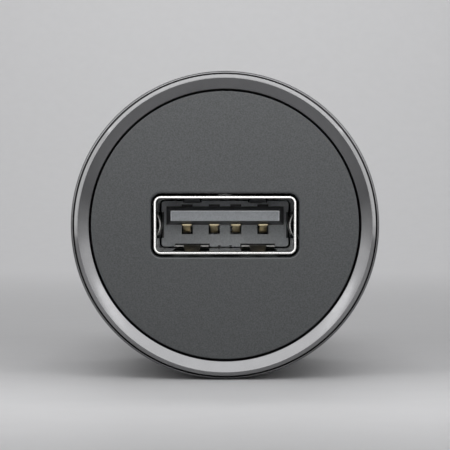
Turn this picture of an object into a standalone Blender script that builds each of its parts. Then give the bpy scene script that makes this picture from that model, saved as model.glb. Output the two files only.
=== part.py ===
"""USB car charger with one type A port, lying on its side with the port facing -Y and +Z up.

Every piece is modelled in one frame, carried by the empty "charger_axis": X is to the right of
someone who looks at the port, Y is up and Z points at them. The origin of that frame is where the
charger's axis meets the bezel's front edge, so a depth behind that edge is a negative Z.
"""

from math import asin, cos, hypot, pi, radians, sin, sqrt

import bmesh
import bpy
from mathutils import Matrix, Vector

MM = 0.001

# Clearances
PRESS_GAP = 0.05 * MM  # between faces that are pressed or glued together
SEAT_GAP = 0.10 * MM  # between a piece and what it rests on
RUN_GAP = 0.08 * MM  # round the moving pin
JOIN = 0.20 * MM  # how deep joined shapes reach into each other
MERGE_DISTANCE = 0.001 * MM

# Head: the sleeve and the bezel pressed into its mouth
HEAD_RADIUS = 14.1 * MM
HEAD_LENGTH = 26.0 * MM
SLEEVE_WALL = 1.2 * MM
SLEEVE_FLOOR = 1.5 * MM
SLEEVE_FRONT_ROUND = 0.35 * MM
SLEEVE_REAR_ROUND = 0.8 * MM
SHADOW_GAP = 0.25 * MM  # open line between the bezel's rim and the sleeve
BEZEL_INSET = 0.38 * MM  # how far the bezel's rim stays inside the sleeve's outer face
BEZEL_CHAMFER = 0.34 * MM
BEZEL_RIM_LAND = 0.35 * MM
BEVEL_WIDTH = 0.96 * MM
BEVEL_DEPTH = 0.55 * MM
LEDGE_WIDTH = 0.8 * MM
LEDGE_THICKNESS = 1.7 * MM

# Face plate, snapped behind the bezel's ledge
PLATE_GAP = 0.18 * MM
PLATE_THICKNESS = 2.2 * MM
PLATE_EDGE_ROUND = 0.12 * MM
SKIRT_WALL = 1.05 * MM
SKIRT_GAP = 0.15 * MM
HOOK_REACH = 0.35 * MM
HOOK_LENGTH = 1.2 * MM
HOOK_WIDTH = 7.5 * MM
CUTOUT_GAP = 0.19 * MM  # open line round the port's shell

# Main housing: cradle inside the head, flange and plug barrel
CRADLE_WALL = 1.2 * MM
CRADLE_GAP = 0.4 * MM
FLANGE_THICKNESS = 1.5 * MM
BARREL_RADIUS = 10.35 * MM
BARREL_DRAFT = 0.2 * MM
BARREL_WALL = 1.45 * MM
BARREL_LENGTH = 27.0 * MM
BARREL_END_ROUND = 0.5 * MM
BORE_END_WALL = 1.2 * MM
NECK_STEP = 1.85 * MM
NECK_WALL = 1.1 * MM
NECK_LENGTH = 4.5 * MM
RAIL_HEIGHT = 0.9 * MM
RAIL_OVERLAP = 1.0 * MM

# Nose cap on the neck
CAP_STEP = 0.85 * MM
CAP_END_WALL = 1.4 * MM
CAP_END_ROUND = 1.0 * MM
FLUTE_COUNT = 14
FLUTE_RADIUS = 0.9 * MM
FLUTE_DEPTH = 0.3 * MM
FLUTE_LENGTH = 3.4 * MM

# Sprung centre pin
PIN_RADIUS = 2.55 * MM
PIN_TRAVEL = 2.4 * MM
PIN_STUB = 0.6 * MM  # how far the pin still stands out of the nose cap when it is pressed in
PIN_DOME = 1.2 * MM
PIN_FLANGE_RADIUS = 3.9 * MM
PIN_FLANGE_THICKNESS = 1.4 * MM
PIN_TAIL_RADIUS = 1.6 * MM
PIN_TAIL_LENGTH = 3.2 * MM
SPRING_WIRE = 0.5 * MM
SPRING_RADIUS = 2.45 * MM  # to the middle of the wire
SPRING_LENGTH = 9.6 * MM
SPRING_TURNS = 6

# Terminal cup that the spring presses into
CUP_WALL = 0.5 * MM
CUP_DEPTH = 2.4 * MM
CUP_TAB_WIDTH = 3.6 * MM
CUP_TAB_THICKNESS = 0.4 * MM

# Sprung side contacts
CONTACT_SHEET = 0.5 * MM
CONTACT_WIDTH = 4.8 * MM
CONTACT_WALL_GAP = 0.12 * MM
CONTACT_FOOT_LENGTH = 4.2 * MM
CONTACT_FOOT_INSET = 0.6 * MM  # from the sleeve's rear face to the foot's front end
CONTACT_BOW_LENGTH = 19.0 * MM
CONTACT_END_LENGTH = 1.5 * MM
CONTACT_REACH = 1.3 * MM  # how far the bow stands out of the barrel
CONTACT_SLOT_GAP = 0.4 * MM
CONTACT_PIVOT_INSET = 0.3 * MM
CONTACT_TAB_WIDTH = 1.6 * MM

# Type A receptacle
SHELL_OPENING_WIDTH = 12.5 * MM
SHELL_OPENING_HEIGHT = 4.9 * MM
SHELL_SHEET = 0.28 * MM
SHELL_CORNER = 0.65 * MM
SHELL_PROUD = 0.10 * MM
SHELL_LENGTH = 13.3 * MM
FLOOR_SPRING_WIDTH = 1.67 * MM
FLOOR_SPRING_TIP_WIDTH = 1.38 * MM
FLOOR_SPRING_WINDOW = 3.1 * MM
FLOOR_SPRING_SHOULDER = 2.8 * MM
FLOOR_SPRING_REACH = 0.58 * MM  # how far its crest stands into the port
ROOF_SPRING_WIDTH = 1.35 * MM
ROOF_SPRING_TIP_WIDTH = 1.1 * MM
ROOF_SPRING_WINDOW = 1.85 * MM
ROOF_SPRING_REACH = 0.33 * MM
SIDE_SPRING_WIDTH = 1.9 * MM
SIDE_SPRING_TIP_WIDTH = 1.6 * MM
SIDE_SPRING_WINDOW = 2.4 * MM
SIDE_SPRING_REACH = 0.40 * MM
SPRING_OFFSET = 3.1 * MM  # from the middle to each floor and roof spring
SPRING_TIP = 2.6 * MM  # this and the next three are depths behind the shell's mouth
SPRING_CREST = 4.0 * MM
SPRING_SHOULDER = 7.2 * MM
SPRING_ROOT = 8.7 * MM
SPRING_TIP_GAP = 0.4 * MM
SPRING_CREST_FLAT = 0.5 * MM
SPRING_SHOULDER_RISE = 0.45  # this and the next two are shares of a spring's reach
SPRING_TIP_RISE = 0.1
SPRING_NOTCH_RISE = 0.6
SPRING_NOTCH_DEPTH = 1.5 * MM
SHELL_LEG_WIDTH = 1.8 * MM
SHELL_LEG_DEPTHS = (7.2 * MM, 11.8 * MM)
SHELL_LEG_LENGTH = 0.8 * MM  # how far each leg stands out below the board
WALL_DEPTH = 9.2 * MM  # from the shell's mouth to the insulator's wall
WALL_GAP = 0.2 * MM
WALL_CORNER = 0.35 * MM
TONGUE_SIDE_GAP = 0.875 * MM
TONGUE_THICKNESS = 1.71 * MM
TONGUE_BOTTOM = 0.02 * MM  # height of the tongue's lower face above the axis
TONGUE_RECESS = 1.7 * MM
TONGUE_CHAMFER = 0.36 * MM
POLE_PITCHES = (-3.5 * MM, -1.0 * MM, 1.0 * MM, 3.5 * MM)
POLE_WIDTH = 0.75 * MM
POLE_SHEET = 0.22 * MM
POLE_BOW = 0.72 * MM  # how far a pole's crest hangs below the tongue
POLE_SLOT_WIDTH = 1.02 * MM
POLE_SLOT_HEIGHT = 0.9 * MM
POLE_GROOVE = 0.36 * MM
POLE_NOTCH_HEIGHT = 0.22 * MM
POLE_TIP_INSET = 0.8 * MM  # from the tongue's front to a pole's tip
POLE_CREST_INSET = 2.2 * MM
POLE_TAIL_GAP = 0.35 * MM  # from the insulator's rear face to the tails

# Circuit board
BOARD_THICKNESS = 1.2 * MM
BOARD_TAIL_GAP = 1.8 * MM  # from the board's rear edge to the terminal cup
BOARD_CORNER = 0.6 * MM
BOARD_EDGE_GAP = 0.2 * MM
BOARD_MARGIN = 0.6 * MM  # from the shell's legs to the rails

# What is soldered to the board
COMPONENT_GAP = 0.6 * MM
CAPACITOR_RADIUS = 3.15 * MM
CAPACITOR_HEIGHT = 7.4 * MM
CAPACITOR_BASE = 6.6 * MM
CAPACITOR_BASE_HEIGHT = 0.9 * MM
CAPACITOR_BASE_CORNER = 0.6 * MM
INDUCTOR_RADIUS = 3.7 * MM
INDUCTOR_HEIGHT = 4.6 * MM
INDUCTOR_FLANGE = 0.9 * MM
INDUCTOR_HUB_RADIUS = 1.7 * MM
WINDING_TURNS = 5
WINDING_GAP = 0.1 * MM
LEAD_SHEET = 0.2 * MM
LEAD_REACH = 1.0 * MM  # how far a chip's leads stand out
LEAD_BEND = 0.25 * MM
LEAD_LIFT = 0.02 * MM
LEAD_HEIGHT_SHARE = 0.45  # where a lead leaves its package, as a share of the package's height
LEAD_WIDTH_SHARE = 0.35  # of the leads' pitch
PACKAGE_TAPER = 0.93
CHIP_LIFT = 0.1 * MM
END_CAP_PROUD = 0.03 * MM
END_CAP_SHARE = 0.2  # of a chip part's length
CAN_CRIMP = 0.3 * MM
CAN_ROLL = 0.25 * MM
CONVERTER_SIZE = (3.9 * MM, 4.9 * MM, 1.5 * MM)
CONTROL_CHIP_SIZE = (1.6 * MM, 2.9 * MM, 1.1 * MM)
DIODE_SIZE = (4.3 * MM, 2.6 * MM, 2.2 * MM)
FUSE_SIZE = (3.2 * MM, 1.6 * MM, 0.7 * MM)
CERAMIC_SIZE = (2.0 * MM, 1.25 * MM, 1.0 * MM)
CERAMIC_PITCH = 3.0 * MM
RESISTOR_SIZE = (1.6 * MM, 0.8 * MM, 0.45 * MM)
RESISTOR_PITCH = 2.4 * MM

SEGMENTS = 54  # two more than a multiple of four, so that a flat lies at the bottom
SMALL_SEGMENTS = 32
COIL_SEGMENTS = 24
ROUND_STEPS = 4

# Radii and depths that follow from the sizes above
SLEEVE_BORE = HEAD_RADIUS - SLEEVE_WALL
BEZEL_RADIUS = HEAD_RADIUS - BEZEL_INSET
CREST_RADIUS = BEZEL_RADIUS - BEZEL_CHAMFER
BEZEL_OPENING = CREST_RADIUS - BEVEL_WIDTH
LEDGE_RADIUS = BEZEL_OPENING - LEDGE_WIDTH
RIM_DEPTH = BEZEL_CHAMFER + BEZEL_RIM_LAND
SLEEVE_FRONT = RIM_DEPTH + SHADOW_GAP
PLATE_RADIUS = BEZEL_OPENING - PLATE_GAP
PLATE_FRONT = BEVEL_DEPTH
PLATE_REAR = PLATE_FRONT + PLATE_THICKNESS
LEDGE_FRONT = PLATE_REAR + SEAT_GAP
LEDGE_REAR = LEDGE_FRONT + LEDGE_THICKNESS
SKIRT_RADIUS = LEDGE_RADIUS - SKIRT_GAP
SKIRT_BORE = SKIRT_RADIUS - SKIRT_WALL
HOOK_RADIUS = LEDGE_RADIUS + HOOK_REACH
HOOK_FRONT = LEDGE_REAR + SEAT_GAP
SKIRT_REAR = HOOK_FRONT + HOOK_LENGTH
CRADLE_FRONT = SKIRT_REAR + CRADLE_GAP
FLANGE_RADIUS = SLEEVE_BORE - PRESS_GAP
FLANGE_REAR = HEAD_LENGTH - SLEEVE_FLOOR - SEAT_GAP
FLANGE_FRONT = FLANGE_REAR - FLANGE_THICKNESS
BARREL_BORE = BARREL_RADIUS - BARREL_WALL
BARREL_TAIL_RADIUS = BARREL_RADIUS - BARREL_DRAFT
BARREL_END = HEAD_LENGTH + BARREL_LENGTH
NECK_RADIUS = BARREL_TAIL_RADIUS - NECK_STEP
NECK_END = BARREL_END + NECK_LENGTH
CAP_RADIUS = BARREL_TAIL_RADIUS - CAP_STEP
CAP_FRONT = BARREL_END + SEAT_GAP
CAP_BORE = NECK_RADIUS + RUN_GAP
CAP_WALL_FRONT = NECK_END + SEAT_GAP
CAP_END = CAP_WALL_FRONT + CAP_END_WALL
PIN_FLANGE_REAR = CAP_WALL_FRONT - SEAT_GAP
PIN_FLANGE_FRONT = PIN_FLANGE_REAR - PIN_FLANGE_THICKNESS
PIN_TIP = CAP_END + PIN_TRAVEL + PIN_STUB
SPRING_REAR = PIN_FLANGE_FRONT - SEAT_GAP
SPRING_FRONT = SPRING_REAR - SPRING_LENGTH
CUP_FLOOR = SPRING_FRONT - SEAT_GAP
CUP_FRONT = CUP_FLOOR - CUP_WALL
BOARD_REAR = CUP_FRONT - BOARD_TAIL_GAP
CUP_BORE = SPRING_RADIUS + SPRING_WIRE / 2 + 2 * SEAT_GAP
SHELL_WIDTH = SHELL_OPENING_WIDTH + 2 * SHELL_SHEET
SHELL_HEIGHT = SHELL_OPENING_HEIGHT + 2 * SHELL_SHEET
SHELL_FRONT = PLATE_FRONT - SHELL_PROUD
SHELL_REAR = SHELL_FRONT + SHELL_LENGTH
WALL_FRONT = SHELL_FRONT + WALL_DEPTH
TONGUE_FRONT = SHELL_FRONT + TONGUE_RECESS
TONGUE_TOP = TONGUE_BOTTOM + TONGUE_THICKNESS
BOARD_TOP = -SHELL_HEIGHT / 2 - PRESS_GAP
BOARD_BOTTOM = BOARD_TOP - BOARD_THICKNESS
OUTPUT_CAPACITOR_DEPTH = SHELL_REAR + 4 * COMPONENT_GAP + CAPACITOR_BASE / 2
INDUCTOR_DEPTH = OUTPUT_CAPACITOR_DEPTH + CAPACITOR_BASE / 2 + 3 * COMPONENT_GAP + INDUCTOR_RADIUS
INPUT_CAPACITOR_DEPTH = INDUCTOR_DEPTH + INDUCTOR_RADIUS + COMPONENT_GAP + CAPACITOR_BASE / 2
INPUT_CAPACITOR_REAR = INPUT_CAPACITOR_DEPTH + CAPACITOR_BASE / 2
TOTAL_LENGTH = PIN_TIP
REST_HEIGHT = HEAD_RADIUS * cos(pi / SEGMENTS)


def chord(radius, height):
    """Half the width of a circle at a height above or below its centre."""
    return sqrt(radius**2 - height**2)


BOARD_FRONT = SKIRT_REAR + BOARD_EDGE_GAP
BOARD_HALF_WIDTH = SHELL_WIDTH / 2 + BOARD_MARGIN + RAIL_OVERLAP
CRADLE_BORE = hypot(BOARD_HALF_WIDTH + BOARD_EDGE_GAP, BOARD_BOTTOM)
CRADLE_RADIUS = CRADLE_BORE + CRADLE_WALL
BOARD_STEM_HALF_WIDTH = chord(BARREL_BORE, BOARD_BOTTOM) - BOARD_EDGE_GAP
BOARD_STEP = FLANGE_FRONT - BOARD_EDGE_GAP - SEAT_GAP
CONTACT_LINE = chord(BARREL_BORE, CONTACT_WIDTH / 2) - CONTACT_WALL_GAP - CONTACT_SHEET / 2
CONTACT_FRONT = HEAD_LENGTH + CONTACT_FOOT_INSET
CONTACT_PIVOT = CONTACT_FRONT + CONTACT_PIVOT_INSET
BOW_START = CONTACT_FRONT + CONTACT_FOOT_LENGTH
BOW_END = BOW_START + CONTACT_BOW_LENGTH
BOW_HEIGHT = BARREL_RADIUS + CONTACT_REACH - CONTACT_SHEET / 2 - CONTACT_LINE


# Scene, materials and small modelling tools


def clear_scene():
    for obj in list(bpy.data.objects):
        bpy.data.objects.remove(obj, do_unlink=True)


def new_collection(name):
    collection = bpy.data.collections.new(name)
    bpy.context.scene.collection.children.link(collection)
    return collection


def new_material(name, colour, roughness, metallic=0.0):
    material = bpy.data.materials.new(name)
    material.use_nodes = True
    shader = material.node_tree.nodes["Principled BSDF"]
    shader.inputs["Base Color"].default_value = (*colour, 1.0)
    shader.inputs["Roughness"].default_value = roughness
    shader.inputs["Metallic"].default_value = metallic
    return material


clear_scene()
CHARGER = new_collection("usb_car_charger")
CUTTERS = new_collection("cutters")

AXIS = bpy.data.objects.new("charger_axis", None)
AXIS.location = (0, -TOTAL_LENGTH / 2, REST_HEIGHT)
AXIS.rotation_euler = (pi / 2, 0, 0)
CHARGER.objects.link(AXIS)

GUNMETAL = new_material("gunmetal_anodised", (0.20, 0.20, 0.21), 0.28, 1.0)
BLACK_MATT = new_material("black_plastic_matt", (0.035, 0.036, 0.038), 0.6)
BLACK_SATIN = new_material("black_plastic_satin", (0.02, 0.02, 0.021), 0.4)
NICKEL = new_material("nickel_plate", (0.72, 0.70, 0.66), 0.22, 1.0)
STEEL = new_material("spring_steel", (0.60, 0.60, 0.61), 0.3, 1.0)
GOLD = new_material("gold_flash", (0.72, 0.53, 0.25), 0.3, 1.0)
BOARD_GREEN = new_material("board_green", (0.02, 0.12, 0.05), 0.45)
FERRITE = new_material("ferrite", (0.05, 0.05, 0.055), 0.7)
COPPER = new_material("enamelled_copper", (0.62, 0.24, 0.10), 0.35, 1.0)
CAN = new_material("aluminium_can", (0.75, 0.75, 0.76), 0.3, 1.0)
CHIP = new_material("chip_black", (0.025, 0.025, 0.027), 0.5)
CERAMIC = new_material("chip_ceramic", (0.45, 0.32, 0.20), 0.5)


def link_part(obj, material, parent=AXIS):
    """Files a finished piece under its parent, in the charger's collection."""
    obj.parent = parent
    obj.data.materials.clear()
    obj.data.materials.append(material)
    for collection in list(obj.users_collection):
        collection.objects.unlink(obj)
    CHARGER.objects.link(obj)
    return obj


def link_cutter(obj, parent=AXIS):
    """Files a tool body that shapes a piece and isn't one itself."""
    obj.parent = parent
    obj.hide_render = True
    obj.display_type = "WIRE"
    for collection in list(obj.users_collection):
        collection.objects.unlink(obj)
    CUTTERS.objects.link(obj)
    return obj


def mesh_object(name, bm):
    mesh = bpy.data.meshes.new(name)
    bm.to_mesh(mesh)
    bm.free()
    return bpy.data.objects.new(name, mesh)


def boolean(target, tool, operation):
    modifier = target.modifiers.new(f"{operation.lower()}_{tool.name}", "BOOLEAN")
    modifier.operation = operation
    modifier.solver = "EXACT"
    modifier.object = tool
    return modifier


def cut(target, *tools):
    for tool in tools:
        boolean(target, link_cutter(tool, target.parent), "DIFFERENCE")


def join(target, *tools):
    for tool in tools:
        boolean(target, link_cutter(tool, target.parent), "UNION")


def arc(radius_at, depth_at, size, start, end, steps=ROUND_STEPS):
    """Points of an arc in a profile, round (radius_at, depth_at). 0 degrees is outwards, 90 is deeper."""
    width, depth = size if isinstance(size, tuple) else (size, size)
    turn = [radians(start + (end - start) * i / steps) for i in range(steps + 1)]
    return [(radius_at + width * cos(a), depth_at + depth * sin(a)) for a in turn]


def turned(name, profile, segments=SEGMENTS):
    """A solid turned round Z from (radius, depth) points: a closed loop, or a line from axis to axis."""
    closed = all(radius > 0 for radius, _ in profile)
    points = [(radius, -depth) for radius, depth in profile]
    turn = sum(a[0] * b[1] - b[0] * a[1] for a, b in zip(points, points[1:] + points[:1]))
    if turn > 0:
        points.reverse()
    bm = bmesh.new()
    verts = [bm.verts.new((radius, 0, z)) for radius, z in points]
    for first, second in zip(verts, verts[1:]):
        bm.edges.new((first, second))
    if closed:
        bm.edges.new((verts[-1], verts[0]))
    obj = mesh_object(name, bm)
    screw = obj.modifiers.new("turn", "SCREW")
    screw.axis = "Z"
    screw.angle = 2 * pi
    screw.steps = screw.render_steps = segments
    screw.use_merge_vertices = True
    screw.merge_threshold = MERGE_DISTANCE
    screw.use_smooth_shade = True
    return obj


def box(name, x, y, depth):
    """A block between two values along each direction; depth counts backwards from the front."""
    bm = bmesh.new()
    bmesh.ops.create_cube(bm, size=1.0)
    size = Vector((x[1] - x[0], y[1] - y[0], depth[1] - depth[0]))
    centre = Vector(((x[0] + x[1]) / 2, (y[0] + y[1]) / 2, -(depth[0] + depth[1]) / 2))
    bmesh.ops.transform(bm, verts=bm.verts, matrix=Matrix.Translation(centre) @ Matrix.Diagonal((*size, 1)))
    return mesh_object(name, bm)


def rod(name, radius, depth, x=0.0, y=0.0, segments=SMALL_SEGMENTS):
    """A cylinder along Z, from one depth to another."""
    bm = bmesh.new()
    length = depth[1] - depth[0]
    size = {"radius1": radius, "radius2": radius, "depth": length}
    bmesh.ops.create_cone(bm, cap_ends=True, segments=segments, **size)
    bmesh.ops.translate(bm, verts=bm.verts, vec=(x, y, -(depth[0] + depth[1]) / 2))
    return mesh_object(name, bm)


def rounded_rectangle(width, height, corner, steps=5):
    """Corner points of a rectangle with round corners, anticlockwise."""
    points = []
    for quarter, (sx, sy) in enumerate(((1, 1), (-1, 1), (-1, -1), (1, -1))):
        for i in range(steps + 1):
            angle = (quarter + i / steps) * pi / 2
            points.append(
                (
                    sx * (width / 2 - corner) + corner * cos(angle),
                    sy * (height / 2 - corner) + corner * sin(angle),
                )
            )
    return points


def extruded(name, outlines, thickness, location=(0, 0, 0), rotation=(0, 0, 0)):
    """A flat solid from closed outlines, the later ones holes in the first, made a mesh."""
    curve = bpy.data.curves.new(name, "CURVE")
    curve.dimensions = "2D"
    curve.fill_mode = "BOTH"
    curve.extrude = thickness / 2
    for outline in outlines:
        spline = curve.splines.new("POLY")
        spline.points.add(len(outline) - 1)
        for point, (x, y) in zip(spline.points, outline):
            point.co = (x, y, 0, 1)
        spline.use_cyclic_u = True
    guide = bpy.data.objects.new(name + "_outline", curve)
    CHARGER.objects.link(guide)
    bpy.context.view_layer.update()
    evaluated = guide.evaluated_get(bpy.context.evaluated_depsgraph_get())
    mesh = bpy.data.meshes.new_from_object(evaluated)
    bpy.data.objects.remove(guide, do_unlink=True)
    bm = bmesh.new()
    bm.from_mesh(mesh)
    bmesh.ops.remove_doubles(bm, verts=bm.verts, dist=MERGE_DISTANCE)
    bmesh.ops.recalc_face_normals(bm, faces=bm.faces)
    obj = mesh_object(name, bm)
    bpy.data.meshes.remove(mesh)
    obj.location = location
    obj.rotation_euler = rotation
    return obj


def strip_sides(line, thickness):
    """The two sides of a sheet of that thickness, seen edge on, along a line of points."""
    left, right = [], []
    for i, point in enumerate(line):
        before = Vector(line[max(i - 1, 0)])
        after = Vector(line[min(i + 1, len(line) - 1)])
        here = Vector(point)
        into = (here - before).normalized() if i else (after - here).normalized()
        out = (after - here).normalized() if i < len(line) - 1 else into
        mean = (into + out).normalized()
        side = Vector((-mean.y, mean.x)) * thickness / 2 / max(mean.dot(into), 0.5)
        left.append(tuple(here + side))
        right.append(tuple(here - side))
    return left, right


def strip_outline(line, thickness):
    left, right = strip_sides(line, thickness)
    return left + right[::-1]


def bent_sheet(name, points, thickness, x=0.0):
    """A sheet strip bent along (depth, height, width) points, its width across X."""
    left, right = strip_sides([(-depth, height) for depth, height, _ in points], thickness)
    bm = bmesh.new()
    sections = []
    for upper, lower, (_, _, width) in zip(left, right, points):
        corners = ((-1, upper), (1, upper), (1, lower), (-1, lower))
        sections.append([bm.verts.new((x + sign * width / 2, y, z)) for sign, (z, y) in corners])
    bm.faces.new(sections[0])
    bm.faces.new(sections[-1])
    for near, far in zip(sections, sections[1:]):
        for i in range(4):
            bm.faces.new((near[i], near[(i + 1) % 4], far[(i + 1) % 4], far[i]))
    bmesh.ops.recalc_face_normals(bm, faces=bm.faces)
    return mesh_object(name, bm)


# Head: bezel, sleeve and face plate


def make_bezel_ring():
    neck = SLEEVE_BORE - PRESS_GAP
    profile = [
        (BEZEL_OPENING, BEVEL_DEPTH),
        (CREST_RADIUS, 0),
        (BEZEL_RADIUS, BEZEL_CHAMFER),
        (BEZEL_RADIUS, RIM_DEPTH),
        (neck, RIM_DEPTH),
        (neck, LEDGE_REAR),
        (LEDGE_RADIUS, LEDGE_REAR),
        (LEDGE_RADIUS, LEDGE_FRONT),
        (BEZEL_OPENING, LEDGE_FRONT),
    ]
    link_part(turned("bezel_ring", profile), GUNMETAL)


def make_head_sleeve():
    front, rear = SLEEVE_FRONT_ROUND, SLEEVE_REAR_ROUND
    profile = [(SLEEVE_BORE, SLEEVE_FRONT)]
    profile += arc(HEAD_RADIUS - front, SLEEVE_FRONT + front, front, -90, 0)
    profile += arc(HEAD_RADIUS - rear, HEAD_LENGTH - rear, rear, 0, 90)
    profile += [
        (BARREL_RADIUS + SEAT_GAP, HEAD_LENGTH),
        (BARREL_RADIUS + SEAT_GAP, HEAD_LENGTH - SLEEVE_FLOOR),
        (SLEEVE_BORE, HEAD_LENGTH - SLEEVE_FLOOR),
    ]
    link_part(turned("head_sleeve", profile), GUNMETAL)


def make_face_plate():
    profile = [(0, PLATE_FRONT)]
    edge = PLATE_EDGE_ROUND
    profile += arc(PLATE_RADIUS - edge, PLATE_FRONT + edge, edge, -90, 0, 2)
    profile += [
        (PLATE_RADIUS, PLATE_REAR),
        (SKIRT_RADIUS, PLATE_REAR),
        (SKIRT_RADIUS, HOOK_FRONT),
        (HOOK_RADIUS, HOOK_FRONT),
        (SKIRT_RADIUS, SKIRT_REAR),
        (SKIRT_BORE, SKIRT_REAR),
        (SKIRT_BORE, PLATE_REAR),
        (0, PLATE_REAR),
    ]
    plate = link_part(turned("face_plate", profile), BLACK_MATT)
    cut_skirt_to_hooks(plate)
    width, height = SHELL_WIDTH + 2 * CUTOUT_GAP, SHELL_HEIGHT + 2 * CUTOUT_GAP
    cutout = [rounded_rectangle(width, height, SHELL_CORNER + CUTOUT_GAP)]
    middle = -(PLATE_FRONT + PLATE_REAR) / 2
    cut(plate, extruded("port_cutout", cutout, 3 * PLATE_THICKNESS, (0, 0, middle)))


def cut_skirt_to_hooks(plate):
    """Leaves four snap hooks of the skirt, at the diagonals."""
    reach = HOOK_RADIUS + JOIN
    quarter = asin(min(0.95, HOOK_WIDTH / 2 / SKIRT_RADIUS))
    half_gap = SKIRT_RADIUS * sin(pi / 4 - quarter)
    depth = (PLATE_REAR, SKIRT_REAR + JOIN)
    across = box("skirt_gap_across", (-reach, reach), (-half_gap, half_gap), depth)
    along = box("skirt_gap_along", (-half_gap, half_gap), (-reach, reach), depth)
    cut(plate, across, along)


# Main housing and what closes its tail


def make_main_housing():
    round_end = BARREL_END_ROUND
    profile = [
        (CRADLE_BORE, CRADLE_FRONT),
        (CRADLE_RADIUS, CRADLE_FRONT),
        (CRADLE_RADIUS, FLANGE_FRONT),
        (FLANGE_RADIUS, FLANGE_FRONT),
        (FLANGE_RADIUS, FLANGE_REAR),
        (BARREL_RADIUS, FLANGE_REAR),
    ]
    profile += arc(BARREL_TAIL_RADIUS - round_end, BARREL_END - round_end, round_end, 0, 90)
    profile += [
        (NECK_RADIUS, BARREL_END),
        (NECK_RADIUS, NECK_END),
        (NECK_RADIUS - NECK_WALL, NECK_END),
        (NECK_RADIUS - NECK_WALL, BARREL_END - BORE_END_WALL),
        (BARREL_BORE, BARREL_END - BORE_END_WALL),
        (BARREL_BORE, FLANGE_REAR),
        (CRADLE_BORE, FLANGE_FRONT),
    ]
    housing = link_part(turned("main_housing", profile), BLACK_SATIN)
    for side, sign in (("left", -1), ("right", 1)):
        join(housing, *board_rails(side, sign))
        cut(housing, contact_slot(side, sign))


def board_rails(side, sign):
    """Ribs that the circuit board's edges slide on, in the barrel and in the cradle."""
    low = BOARD_BOTTOM - SEAT_GAP
    under = (low - RAIL_HEIGHT, low)
    over = (BOARD_TOP + SEAT_GAP, BOARD_TOP + SEAT_GAP + RAIL_HEIGHT)
    rails = (
        ("stem_rail", BARREL_BORE, BOARD_STEM_HALF_WIDTH, under, (FLANGE_REAR - JOIN, BOARD_REAR)),
        ("cradle_rail", CRADLE_BORE, BOARD_HALF_WIDTH, under, (CRADLE_FRONT + JOIN, FLANGE_FRONT + JOIN)),
        ("cradle_keeper", CRADLE_BORE, BOARD_HALF_WIDTH, over, (CRADLE_FRONT + JOIN, FLANGE_FRONT + JOIN)),
    )
    made = []
    for name, bore, half_width, height, depth in rails:
        nearest = min(abs(height[0]), abs(height[1]))
        inner = half_width - RAIL_OVERLAP
        outer = chord(bore, nearest) + JOIN
        x = sorted((sign * inner, sign * outer))
        made.append(box(f"{name}_{side}", x, height, depth))
    return made


def contact_slot(side, sign):
    """Window in the barrel wall that a side contact bows out of."""
    x = sorted((sign * CONTACT_LINE / 2, sign * 1.2 * BARREL_RADIUS))
    half = CONTACT_WIDTH / 2 + CONTACT_SLOT_GAP
    depth = (BOW_START - CONTACT_SLOT_GAP, BOW_END - CONTACT_SLOT_GAP)
    return box(f"contact_slot_{side}", x, (-half, half), depth)


def make_nose_cap():
    profile = [
        (CAP_BORE, CAP_FRONT),
        (CAP_RADIUS, CAP_FRONT),
    ]
    profile += arc(CAP_RADIUS - CAP_END_ROUND, CAP_END - CAP_END_ROUND, CAP_END_ROUND, 0, 90)
    profile += [
        (PIN_RADIUS + RUN_GAP, CAP_END),
        (PIN_RADIUS + RUN_GAP, CAP_WALL_FRONT),
        (CAP_BORE, CAP_WALL_FRONT),
    ]
    cap = link_part(turned("nose_cap", profile), BLACK_SATIN)
    centre = CAP_RADIUS + FLUTE_RADIUS - FLUTE_DEPTH
    for i in range(FLUTE_COUNT):
        angle = 2 * pi * (i + 0.5) / FLUTE_COUNT
        depth = (CAP_FRONT - FLUTE_RADIUS, CAP_FRONT + FLUTE_LENGTH)
        flute = rod(f"flute_{i + 1}", FLUTE_RADIUS, depth, centre * cos(angle), centre * sin(angle), 12)
        cut(cap, flute)


def make_centre_pin():
    profile = [
        (0, PIN_FLANGE_FRONT - PIN_TAIL_LENGTH),
        (PIN_TAIL_RADIUS, PIN_FLANGE_FRONT - PIN_TAIL_LENGTH),
        (PIN_TAIL_RADIUS, PIN_FLANGE_FRONT),
        (PIN_FLANGE_RADIUS, PIN_FLANGE_FRONT),
        (PIN_FLANGE_RADIUS, PIN_FLANGE_REAR),
        (PIN_RADIUS, PIN_FLANGE_REAR),
    ]
    profile += arc(0, PIN_TIP - PIN_DOME, (PIN_RADIUS, PIN_DOME), 0, 90, 5)[:-1]
    profile += [(0, PIN_TIP)]
    link_part(turned("centre_pin", profile, SMALL_SEGMENTS), NICKEL)


def make_pin_spring():
    """A compression spring whose end turns lie close, as ground ends do."""
    points_per_turn = 12
    count = SPRING_TURNS * points_per_turn
    curve = bpy.data.curves.new("pin_spring", "CURVE")
    curve.dimensions = "3D"
    curve.bevel_depth = SPRING_WIRE / 2
    curve.bevel_resolution = 2
    curve.use_fill_caps = True
    spline = curve.splines.new("POLY")
    spline.points.add(count)
    first, last = SPRING_FRONT + SPRING_WIRE / 2, SPRING_REAR - SPRING_WIRE / 2
    for i, point in enumerate(spline.points):
        angle = 2 * pi * i / points_per_turn
        share = i / count
        eased = share - 0.6 * sin(2 * pi * share) / (2 * pi)
        depth = first + (last - first) * eased
        point.co = (SPRING_RADIUS * cos(angle), SPRING_RADIUS * sin(angle), -depth, 1)
    link_part(bpy.data.objects.new("pin_spring", curve), STEEL)


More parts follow.
